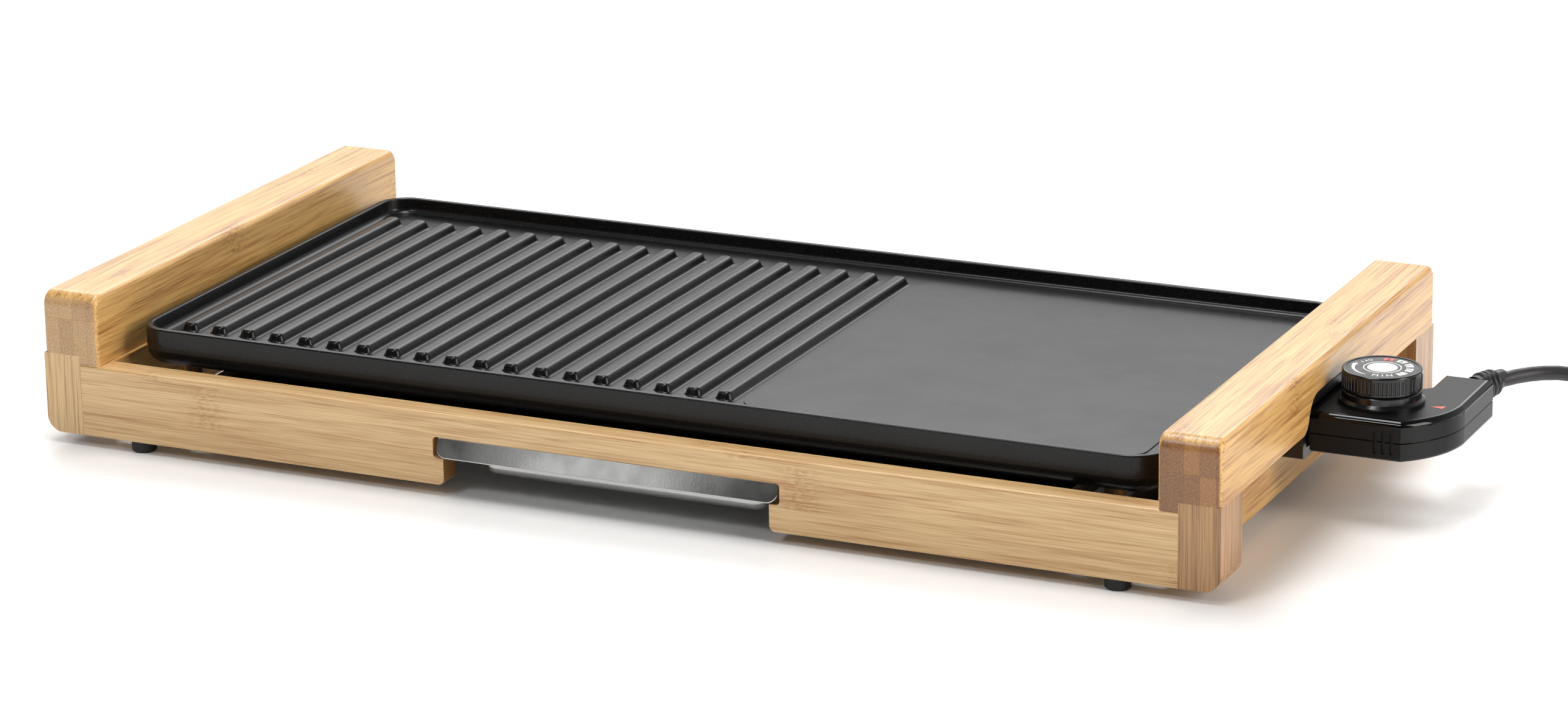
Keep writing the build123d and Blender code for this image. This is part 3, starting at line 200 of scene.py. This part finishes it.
def bamboo(name, grain, shift, light, dark, end_light, end_dark):
    """Glued strips with the grain along one axis; end grain shows on the faces that cross it."""
    material, tree, shader = new_material(name, Roughness=0.42, Coat_Weight=0.45, Coat_Roughness=0.24)
    axes = add(tree, "ShaderNodeSeparateXYZ", {0: position(tree)}).outputs
    along, *across = [axes[i] for i in GRAIN_ORDER[grain]]
    counts, seam = lamella_numbers(tree, across, LAMELLA[grain], shift)
    cell = add(tree, "ShaderNodeCombineXYZ", {0: counts[0], 1: counts[1], 2: shift}).outputs[0]
    tone = add(tree, "ShaderNodeTexWhiteNoise", {0: cell}, noise_dimensions="3D").outputs["Value"]
    run = calc(tree, "ADD", along, calc(tree, "MULTIPLY", tone, RUN_SHIFT))
    fibre_place = add(tree, "ShaderNodeCombineXYZ", {0: run, 1: across[0], 2: across[1]}).outputs[0]

    levels = {}
    joints = calc(tree, "MULTIPLY", bamboo_joints(tree, along, across, tone), JOINT_DARKENING)
    shade = calc(tree, "ADD", joints, calc(tree, "MULTIPLY", tone, STRIP_DARKENING))
    for kind, (stretch, detail, rough, limits, darkening) in GRAIN_MARKS.items():
        levels[kind] = noise(tree, stretched(tree, fibre_place, stretch), 1.0, detail, rough)
        mark = calc(tree, "MULTIPLY", between(tree, levels[kind], *limits), darkening)
        shade = calc(tree, "ADD", shade, mark, clamp=True)
    side = blend(tree, shade, light, dark)

    dots = noise(tree, position(tree), PORE_SCALE, 1.0)
    pores = between(tree, dots, *PORE_LIMITS, 0.0, PORE_DARKENING)
    end_shade = calc(tree, "ADD", pores, calc(tree, "MULTIPLY", tone, END_STRIP_DARKENING))
    end = blend(tree, end_shade, end_light, end_dark)
    normal = add(tree, "ShaderNodeNewGeometry", {}).outputs["Normal"]
    facing = add(tree, "ShaderNodeSeparateXYZ", {0: normal}).outputs[GRAIN_ORDER[grain][0]]
    is_end = between(tree, calc(tree, "ABSOLUTE", facing), *END_FACING)
    colour = blend(tree, is_end, side, end)
    seam_strength = calc(tree, "MULTIPLY", seam, between(tree, is_end, 0.0, 1.0, *SEAM_STRENGTH))
    colour = blend(tree, seam_strength, colour, end_dark)
    tree.links.new(colour, shader.inputs["Base Color"])
    height = calc(tree, "SUBTRACT", levels["fibres"], calc(tree, "MULTIPLY", seam, SEAM_SINK))
    bump(tree, shader, height, *WOOD_BUMP)
    return material


# ---------------------------------------------------------------- other materials
def grained(
    name, colour, roughness, grain, depth, spread=0.06, factors=(1, 1, 1), tint=0.12, **settings
):
    """Moulded, cast or rolled surface: fine grain in height, roughness and a little in colour."""
    material, tree, shader = new_material(name, **settings)
    place = stretched(tree, position(tree), factors)
    fine = noise(tree, place, grain, 3.0)
    broad = noise(tree, place, grain / 14, 2.0)
    rough = between(tree, broad, 0.3, 0.7, roughness - spread, roughness + spread)
    tree.links.new(rough, shader.inputs["Roughness"])
    darker = tuple(c * (1 - tint) for c in colour[:3]) + (1.0,)
    lighter = tuple(min(1.0, c * (1 + tint)) for c in colour[:3]) + (1.0,)
    tree.links.new(blend(tree, fine, darker, lighter), shader.inputs["Base Color"])
    bump(tree, shader, fine, 0.35, depth)
    return material


SPRAY_SCALE = 1500
SPECKLE_SCALE = 1900
MOULD_SCALE = 3200             # texture moulded into the housing


def nonstick():
    """Sprayed coating with fine speckle."""
    material, tree, shader = new_material(
        "nonstick_coating", Specular_IOR_Level=0.2, Coat_Weight=0.2, Coat_Roughness=0.1
    )
    place = position(tree)
    fine = noise(tree, place, SPRAY_SCALE, 2.0)
    broad = noise(tree, place, 22, 3.0)
    speckle = between(tree, noise(tree, place, SPECKLE_SCALE, 1.0), 0.60, 0.72)
    colour = blend(tree, speckle, srgb(12, 12, 13), srgb(52, 52, 52))
    tree.links.new(colour, shader.inputs["Base Color"])
    tree.links.new(between(tree, broad, 0.3, 0.7, 0.29, 0.36), shader.inputs["Roughness"])
    bump(tree, shader, fine, 0.3, 0.00012)
    return material


def housing_plastic():
    """Gloss on the rounded edges, fine moulded texture on the flat top and the upright sides."""
    settings = {"Base_Color": srgb(7, 7, 8), "Specular_IOR_Level": 0.3}
    material, tree, shader = new_material("housing_plastic", **settings)
    normal = add(tree, "ShaderNodeNewGeometry", {}).outputs["Normal"]
    up = add(tree, "ShaderNodeSeparateXYZ", {0: normal}).outputs[2]
    flat = between(tree, calc(tree, "ABSOLUTE", up), 0.965, 0.995)
    upright = between(tree, calc(tree, "ABSOLUTE", up), 0.02, 0.12, 1.0, 0.0)
    textured = calc(tree, "MAXIMUM", flat, calc(tree, "MULTIPLY", upright, 0.75))
    fine = noise(tree, position(tree), MOULD_SCALE, 2.0)
    tree.links.new(between(tree, textured, 0.0, 1.0, 0.08, 0.46), shader.inputs["Roughness"])
    bump(tree, shader, calc(tree, "MULTIPLY", fine, textured), 0.35, 0.00010)
    return material


def metal(name, colour, roughness, grain, depth, factors=(1, 1, 1), spread=0.05):
    return grained(name, colour, roughness, grain, depth, spread, factors, tint=0.05, Metallic=1.0)


HONEY_LIGHT = srgb(232, 197, 143)
HONEY_DARK = srgb(178, 126, 70)
END_LIGHT = srgb(172, 120, 66)
END_DARK = srgb(90, 54, 27)


def bamboo_looks():
    beam = (srgb(238, 192, 118), srgb(152, 92, 38))
    post = (HONEY_LIGHT, srgb(166, 118, 68))
    # Painted shade: the right posts get a darker copy of the post colours, for the shade they stand
    # in.
    painted_shade_post = (srgb(196, 150, 98), srgb(120, 78, 42))
    ends = (END_LIGHT, END_DARK)
    # Painted light: the left beam's end grain gets a paler copy of the end colours, for the light
    # falling on its front end.
    painted_lit_ends = (srgb(206, 168, 118), srgb(140, 98, 66))
    return {
        "rail": bamboo("bamboo_rail", "X", 0.0033, HONEY_LIGHT, HONEY_DARK, *ends),
        "left_beam": bamboo("bamboo_left_beam_painted_lit_ends", "Y", 0.0015, *beam, *painted_lit_ends),
        "right_beam": bamboo("bamboo_right_beam", "Y", 0.0061, *beam, *ends),
        "left_post": bamboo("bamboo_left_post", "Z", 0.0047, *post, *ends),
        "right_post": bamboo("bamboo_right_post_painted_shade", "Z", 0.0021, *painted_shade_post, *ends),
    }


BRUSHED_IN_Y = (1, 0.05, 1)        # grain drawn out along one axis
ROLLED_IN_X = (0.03, 1, 1)
TURNED = (1, 1, 0.1)


def metal_looks():
    return {
        "polished": metal(
            "polished_steel", srgb(206, 206, 204), 0.11, 900, 0.00001, BRUSHED_IN_Y, 0.02
        ),
        "sheet": metal("rolled_sheet", srgb(176, 168, 158), 0.26, 1400, 0.00003, ROLLED_IN_X),
        "zinc": metal("zinc_plate", srgb(176, 178, 178), 0.36, 700, 0.00003),
        "spacer": metal("turned_steel", srgb(190, 176, 156), 0.22, 1600, 0.00003, TURNED),
        "element": metal("element_sheath", srgb(92, 90, 88), 0.42, 900, 0.00004),
        "nickel": metal("nickel_plate", srgb(196, 190, 178), 0.24, 900, 0.00002),
        "brass": metal("brass", srgb(204, 170, 98), 0.28, 900, 0.00002),
    }


def plastic_looks():
    return {
        "ceramic": grained("ceramic", srgb(226, 220, 206), 0.45, 800, 0.00005),
        "socket": grained("painted_socket", srgb(20, 20, 21), 0.34, 1300, 0.00005),
        "knob": grained("knob_plastic", srgb(15, 15, 16), 0.16, 2400, 0.00003, 0.03),
        "ground": grained("dial_ground", srgb(44, 44, 43), 0.42, 2600, 0.00003),
        "white": grained("mark_white", srgb(244, 244, 240), 0.38, 2600, 0.00002, tint=0.03),
        "red": grained("mark_red", srgb(226, 66, 36), 0.38, 2600, 0.00002),
        "cord": grained("cord_jacket", srgb(44, 43, 44), 0.42, 1900, 0.00006),
        "moulding": grained("cord_moulding", srgb(34, 33, 34), 0.36, 1700, 0.00005),
        "tie": grained("tie_plastic", srgb(18, 18, 18), 0.5, 2200, 0.00005),
        "rubber": grained("foot_rubber", srgb(30, 29, 29), 0.62, 1500, 0.00008),
    }


def make_materials():
    coated = {"nonstick": nonstick(), "housing": housing_plastic()}
    return bamboo_looks() | coated | metal_looks() | plastic_looks()


NODE_LOOKS = {
    "rail": ["front_rail", "rear_rail"],
    "left_beam": ["left_top_beam", "left_end_rail"],
    "right_beam": ["right_top_beam", "right_end_rail"],
    "left_post": ["front_left_post", "rear_left_post", "frame_dowels"],
    "right_post": ["front_right_post", "rear_right_post"],
    "nonstick": ["griddle_plate"],
    "housing": ["thermostat_lower_housing", "thermostat_upper_housing"],
    "polished": ["drip_tray"],
    "sheet": ["heat_shield"],
    "zinc": [
        "left_cross_bar", "right_cross_bar", "left_tray_runner", "right_tray_runner", "foot_screws",
        "rail_screws", "spacer_bolts", "socket_screws", "housing_screws",
    ],
    "spacer": ["plate_spacers"],
    "element": ["heating_element"],
    "nickel": ["terminal_pins", "sensing_probe", "plug_pins"],
    "brass": ["contact_sleeves"],
    "ceramic": ["terminal_insulators"],
    "socket": ["socket_shroud"],
    "knob": ["dial_collar", "dial_knob", "dial_shaft", "thermostat_switch", "cord_clamp"],
    "ground": ["dial_disc"],
    "red": ["pointer_mark"],
    "tie": ["coil_tie"],
    "rubber": ["rubber_feet"],
}


def dress_nodes(looks):
    for look, names in NODE_LOOKS.items():
        for name in names:
            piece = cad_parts[name]
            if not piece.material_slots:
                piece.data.materials.append(looks[look])
            for place in piece.material_slots:
                place.material = looks[look]


# ---------------------------------------------------------------- mesh helpers
def new_piece(name, mesh, material, body):
    if not mesh.materials:
        mesh.materials.append(material)
    piece = bpy.data.objects.new(name, mesh)
    scene.collection.objects.link(piece)
    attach(piece, body)
    return piece


def mesh_from(builder, name):
    builder.normal_update()
    mesh = bpy.data.meshes.new(name)
    builder.to_mesh(mesh)
    builder.free()
    return mesh


def smooth(mesh, angle=35):
    for face in mesh.polygons:
        face.use_smooth = True
    mesh.set_sharp_from_angle(angle=radians(angle))
    return mesh


def lathe(name, profile, origin, axis, segments=64):
    """Closed body of revolution; profile is (distance along the axis, radius) in millimetres."""
    turn = Vector(axis).to_track_quat("Z", "Y").to_matrix()
    builder = bmesh.new()
    loops = []
    for reach, radius in profile:
        ring = []
        for i in range(segments):
            angle = 2 * pi * i / segments
            spot = Vector((radius * cos(angle), radius * sin(angle), reach)) * MM
            ring.append(builder.verts.new(Vector(origin) + turn @ spot))
        loops.append(ring)
    for lower, upper in zip(loops, loops[1:]):
        for i in range(segments):
            j = (i + 1) % segments
            builder.faces.new((lower[i], lower[j], upper[j], upper[i]))
    builder.faces.new(list(reversed(loops[0])))
    builder.faces.new(loops[-1])
    return smooth(mesh_from(builder, name))


# ---------------------------------------------------------------- mains lead
CORD_DIAMETER = 7.0 * MM
CORD_START = (0.3210, 0.0526, 0.0460)
CORD_ROUTE = [
    CORD_START,
    (0.3316, 0.0816, 0.0478),
    (0.3690, 0.0956, 0.0468),
    (0.4050, 0.1059, 0.0044),
    (0.4384, 0.1142, 0.0044),
]
TAIL_ROUTE = [(0.5207, 0.0492, 0.0110), (0.5183, 0.0305, 0.0120), (0.5167, 0.0140, 0.0186)]
CORD_ORDER = 3
COIL_CENTRE = (0.4767, 0.0773)
COIL_FIRST_ANGLE = 105.0       # where the lead meets the coil, and below where it leaves
COIL_SWEEP = 1910.0
COIL_STEPS = 85
COIL_OUT_R = 0.0450
COIL_PITCH = 7.05 * MM
COIL_LAYERS = (0.0043, 0.0114)
COIL_RISE_TURNS = 0.15         # either side of the innermost place


def coil_points():
    """Spirals in on the floor, rises to a second layer and spirals out again."""
    step = COIL_SWEEP / COIL_STEPS
    half_turns = COIL_SWEEP / 360 / 2
    points = []
    for i in range(COIL_STEPS):
        turned = (i + 0.5) * step
        past_middle = turned / 360 - half_turns
        radius = COIL_OUT_R - COIL_PITCH * (half_turns - abs(past_middle))
        radius /= cos(radians(step / 2))
        rise = min(1.0, max(0.0, 0.5 + past_middle / (2 * COIL_RISE_TURNS)))
        height = COIL_LAYERS[0] + (COIL_LAYERS[1] - COIL_LAYERS[0]) * rise
        angle = radians(COIL_FIRST_ANGLE - turned)
        x, y = COIL_CENTRE[0] + radius * cos(angle), COIL_CENTRE[1] + radius * sin(angle)
        points.append((x, y, height))
    return points


def make_cord(looks):
    route = CORD_ROUTE + coil_points() + TAIL_ROUTE
    data = bpy.data.curves.new("mains_lead", "CURVE")
    data.dimensions = "3D"
    data.bevel_depth = CORD_DIAMETER / 2
    data.bevel_resolution = 6
    data.use_fill_caps = True
    line = data.splines.new("NURBS")
    line.points.add(len(route) - 1)
    for point, spot in zip(line.points, route):
        point.co = (*spot, 1.0)
    line.order_u = CORD_ORDER
    line.use_endpoint_u = True
    line.resolution_u = 6
    data.materials.append(looks["cord"])
    lead = bpy.data.objects.new("mains_lead", data)
    scene.collection.objects.link(lead)
    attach(lead, "thermostat")
    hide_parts("cord_tube", "cord_coil", "cord_tail")
    return lead


RING_SHAPE = ((0, 0), (0.16, 0.7), (0.3, 0.97), (0.45, 1), (0.6, 0.97), (0.74, 0.7), (0.9, 0))
RING_STEP = 0.28               # each ring is this much smaller than the one before
RING_COUNT = 3


def rings(first, pitch, base, crest):
    """Profile of rounded rings on a sleeve, at even spacing."""
    points = []
    for i in range(RING_COUNT):
        start = first + i * pitch
        for part, lift in RING_SHAPE:
            points.append((start + part * pitch, base - RING_STEP * i + (crest - base) * lift))
    return points


# Profiles in millimetres: distance along the piece, radius.
BOOT_PROFILE = [
    (0.2, 6.4), (3.0, 6.3), (3.6, 5.9), *rings(3.9, 3.4, 5.7, 7.0),
    (14.6, 5.0), (18.5, 4.55), (20.6, 4.3), (21.2, 3.9), (21.2, 3.3),
]
PLUG_PROFILE = [
    (0.6, 3.2), (0.6, 4.6), (1.2, 5.2), (2.2, 5.3), *rings(2.4, 3.6, 5.6, 6.9),
    (13.6, 6.4), (15.0, 9.2), (18.0, 11.8), (22.5, 14.0), (24.0, 15.2), (24.6, 17.4), (26.2, 18.5),
    (40.4, 18.5), (41.5, 18.1), (42.0, 17.2),
]


def make_strain_relief(looks):
    heading = Vector(CORD_ROUTE[1]) - Vector(CORD_START)
    mesh = lathe("strain_relief_boot", BOOT_PROFILE, CORD_START, heading)
    boot = new_piece("strain_relief_boot", mesh, looks["moulding"], "thermostat")
    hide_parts("strain_relief")
    return boot


def make_plug(looks):
    entry, before = Vector(TAIL_ROUTE[-1]), Vector(TAIL_ROUTE[-2])
    heading = entry - before
    heading.z = 0
    mesh = lathe("mains_plug", PLUG_PROFILE, entry, heading)
    plug = new_piece("mains_plug", mesh, looks["moulding"], "thermostat")
    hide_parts("plug_body")
    return plug


# ---------------------------------------------------------------- dial marks
MARK_T = 0.08 * MM
MARK_R = 12.5 * MM
MARK_IN_R = 10.9 * MM
MARK_OUT_R = 14.3 * MM
CENTRE_R = 6.9 * MM
RING_RADII = (8.3 * MM, 8.8 * MM)
ARROW_R = 13.3 * MM
ARROW_TAIL = (0.9 * MM, 0.2 * MM)       # half widths at its ends
ARROW_HEAD = 1.5 * MM                   # half width
ARROW_ANGLES = (168, 180, 179, 252)     # head from and to, tail from and to
LOW_WORD = ("MIN", -72, 15, 4.2 * MM)   # word, azimuth, step, size
REST_WORD = ("OFF", 146, 11, 3.1 * MM)
DIGIT_SIZE = 3.6 * MM


def dial_place():
    low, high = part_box("dial_disc")
    return Vector(((low[0] + high[0]) / 2, (low[1] + high[1]) / 2, high[2]))


def sector(builder, centre, inner, outer, first, last, lift=0.0, steps=24):
    """Flat raised patch between two radii and two angles; a radius may be a (start, end) pair."""
    inner = inner if isinstance(inner, tuple) else (inner, inner)
    outer = outer if isinstance(outer, tuple) else (outer, outer)
    layers = []
    for height in (lift, lift + MARK_T):
        rows = []
        for i in range(steps + 1):
            part = i / steps
            angle = radians(first + (last - first) * part)
            pair = []
            for ends in (inner, outer):
                radius = ends[0] + (ends[1] - ends[0]) * part
                spot = Vector((radius * cos(angle), radius * sin(angle), height))
                pair.append(builder.verts.new(centre + spot))
            rows.append(pair)
        layers.append(rows)
    below, above = layers
    for i in range(steps):
        builder.faces.new((above[i][0], above[i][1], above[i + 1][1], above[i + 1][0]))
        builder.faces.new((below[i][0], below[i + 1][0], below[i + 1][1], below[i][1]))
        for k in (0, 1):
            builder.faces.new((below[i][k], below[i + 1][k], above[i + 1][k], above[i][k]))
    for i in (0, steps):
        builder.faces.new((below[i][0], below[i][1], above[i][1], above[i][0]))


def round_patch(builder, centre, inner, outer, segments=72):
    """Disc, or a ring where inner is above zero."""
    loops = []
    for radius in ([outer] if inner <= 0 else [inner, outer]):
        for height in (0.0, MARK_T):
            loop = []
            for i in range(segments):
                angle = 2 * pi * i / segments
                spot = Vector((radius * cos(angle), radius * sin(angle), height))
                loop.append(builder.verts.new(centre + spot))
            loops.append(loop)
    if inner <= 0:
        builder.faces.new(loops[1])
        builder.faces.new(list(reversed(loops[0])))
    for i in range(segments):
        j = (i + 1) % segments
        if inner > 0:
            builder.faces.new((loops[1][i], loops[3][i], loops[3][j], loops[1][j]))
            builder.faces.new((loops[0][i], loops[0][j], loops[2][j], loops[2][i]))
            builder.faces.new((loops[0][i], loops[1][i], loops[1][j], loops[0][j]))
        low, high = loops[-2], loops[-1]
        builder.faces.new((low[i], low[j], high[j], high[i]))


def letter_mesh(character, size):
    data = bpy.data.curves.new("letter", "FONT")
    data.body = character
    data.size = size
    data.align_x = "CENTER"
    data.align_y = "CENTER"
    data.extrude = MARK_T / 2
    data.resolution_u = 3
    holder = bpy.data.objects.new("letter", data)
    mesh = bpy.data.meshes.new_from_object(holder)
    bpy.data.objects.remove(holder)
    bpy.data.curves.remove(data)
    return mesh


def put_letters(builder, centre, word, azimuth, step, size, lift=0.0):
    """Letters round the dial, their tops towards its centre."""
    for i, character in enumerate(word):
        angle = radians(azimuth + (i - (len(word) - 1) / 2) * step)
        mesh = letter_mesh(character, size)
        spot = Vector((MARK_R * cos(angle), MARK_R * sin(angle), lift + MARK_T / 2))
        mesh.transform(Matrix.Translation(centre + spot) @ Matrix.Rotation(angle + pi / 2, 4, "Z"))
        builder.from_mesh(mesh)
        bpy.data.meshes.remove(mesh)


BOX_HALF = 10.5                # degrees either side of its digit
HEAT_MARKS = (("1", -29), ("2", 2), ("3", 33), ("4", 64))
TOP_MARK = ("5", 95)


def make_dial_marks(looks):
    centre = dial_place()
    white = bmesh.new()
    round_patch(white, centre, 0.0, CENTRE_R)
    round_patch(white, centre, *RING_RADII)
    for _, azimuth in HEAT_MARKS:
        sector(white, centre, MARK_IN_R, MARK_OUT_R, azimuth - BOX_HALF, azimuth + BOX_HALF)
    tail_in = tuple(ARROW_R - half for half in ARROW_TAIL)
    tail_out = tuple(ARROW_R + half for half in ARROW_TAIL)
    sector(white, centre, tail_in, tail_out, *ARROW_ANGLES[2:])
    head_in, head_out = (ARROW_R, ARROW_R - ARROW_HEAD), (ARROW_R, ARROW_R + ARROW_HEAD)
    sector(white, centre, head_in, head_out, *ARROW_ANGLES[:2], steps=8)
    put_letters(white, centre, *LOW_WORD)
    put_letters(white, centre, *REST_WORD)
    mesh = mesh_from(white, "dial_marks")
    new_piece("dial_marks", mesh, looks["white"], "dial")

    red = bmesh.new()
    sector(red, centre, MARK_IN_R, MARK_OUT_R, TOP_MARK[1] - BOX_HALF, TOP_MARK[1] + BOX_HALF)
    mesh = mesh_from(red, "dial_top_mark")
    new_piece("dial_top_mark", mesh, looks["red"], "dial")

    digits = bmesh.new()
    for character, azimuth in (*HEAT_MARKS, TOP_MARK):
        put_letters(digits, centre, character, azimuth, 0, DIGIT_SIZE, MARK_T)
    mesh = mesh_from(digits, "dial_digits")
    new_piece("dial_digits", mesh, looks["ground"], "dial")


# ---------------------------------------------------------------- floor and light
FLOOR_SIZE = 12.0
FLOOR_GREYS = ((0.86, 0.86, 0.86, 1), (0.9, 0.9, 0.9, 1))
FRAME_X = -0.03                # middle of the bamboo frame
# Painted light: the floor glows more the farther it is from the frame, which fills in the cast shadows
# there.
GLOW_HALF = (0.3, 0.16)        # the floor's painted glow starts to lighten it this far out, along X and Y
GLOW_SPREAD = 1.45             # and is lightest this many times as far out
GLOW = (0.01, 0.48)


def make_floor():
    builder = bmesh.new()
    bmesh.ops.create_grid(builder, x_segments=1, y_segments=1, size=FLOOR_SIZE)
    mesh = mesh_from(builder, "floor")
    material, tree, shader = new_material(
        "floor_white_painted_glow", Roughness=0.3, Specular_IOR_Level=0.3, Emission_Color=(1, 1, 1, 1)
    )
    axes = add(tree, "ShaderNodeSeparateXYZ", {0: position(tree)}).outputs
    from_frame = calc(tree, "SUBTRACT", axes[0], FRAME_X)
    reach_x = calc(tree, "ABSOLUTE", calc(tree, "DIVIDE", from_frame, GLOW_HALF[0]))
    reach_y = calc(tree, "ABSOLUTE", calc(tree, "DIVIDE", axes[1], GLOW_HALF[1]))
    # painted glow: emission that lightens the floor and its shadows outside the frame
    glow = between(tree, calc(tree, "MAXIMUM", reach_x, reach_y), 1.0, GLOW_SPREAD, *GLOW)
    tree.links.new(glow, shader.inputs["Emission Strength"])
    patch = noise(tree, position(tree), 3.0)
    colour = blend(tree, patch, *FLOOR_GREYS)
    tree.links.new(colour, shader.inputs["Base Color"])
    mesh.materials.append(material)
    floor = bpy.data.objects.new("floor", mesh)
    scene.collection.objects.link(floor)


def area_light(name, spot, target, size, power, tint):
    data = bpy.data.lights.new(name, "AREA")
    data.shape = "RECTANGLE"
    data.size, data.size_y = size
    data.energy = power
    data.color = tint
    light = bpy.data.objects.new(name, data)
    light.location = spot
    light.rotation_euler = (Vector(target) - Vector(spot)).to_track_quat("-Z", "Y").to_euler()
    scene.collection.objects.link(light)


WORLD_FRONT, WORLD_BACK, WORLD_TOP = 0.045, 0.7, 0.4
WORLD_TURN = (-0.55, 0.75)     # from front to back, along Y
WORLD_RISE = (0.35, 0.9)       # from the horizon up
AIM = (0, 0, 0)
SOFT_BOXES = [                 # name, place, aim, size, power, tint
    ("back_box", (-0.8, 2.2, 1.7), AIM, (3.0, 1.4), 40, (1, 1, 1)),
    ("top_box", (-0.2, -0.1, 2.1), AIM, (1.3, 0.6), 30, (1, 1, 1)),
    ("right_box", (2.1, -0.3, 0.9), (0.2, 0, 0), (0.8, 1.2), 24, (1.0, 0.96, 0.9)),
    ("front_box", (-0.9, -2.3, 2.4), AIM, (0.9, 0.5), 21, (1, 1, 1)),
    ("tray_card", (-1.12, -2.15, 1.06), (0, -0.15, 0), (0.15, 0.3), 0.13, (1, 1, 1)),
]


def make_world():
    """Studio that is bright behind the object, and darker in front of it and above."""
    world = bpy.data.worlds.new("studio")
    world.use_nodes = True
    tree = world.node_tree
    sky = add(tree, "ShaderNodeTexCoord", {}).outputs["Generated"]
    way = add(tree, "ShaderNodeSeparateXYZ", {0: sky}).outputs
    level = between(tree, way[1], *WORLD_TURN, WORLD_FRONT, WORLD_BACK)
    level = calc(tree, "MULTIPLY", level, between(tree, way[2], *WORLD_RISE, 1.0, WORLD_TOP))
    tree.links.new(level, tree.nodes["Background"].inputs["Strength"])
    tree.nodes["Background"].inputs["Color"].default_value = (1, 1, 1, 1)
    scene.world = world


def make_light():
    make_world()
    for row in SOFT_BOXES:
        area_light(*row)
    scene.view_settings.view_transform = "Standard"


def main():
    make_camera()
    looks = make_materials()
    lead = make_cord(looks)
    boot = make_strain_relief(looks)
    plug = make_plug(looks)
    dress_nodes(looks)
    make_dial_marks(looks)
    make_floor()
    make_light()


main()
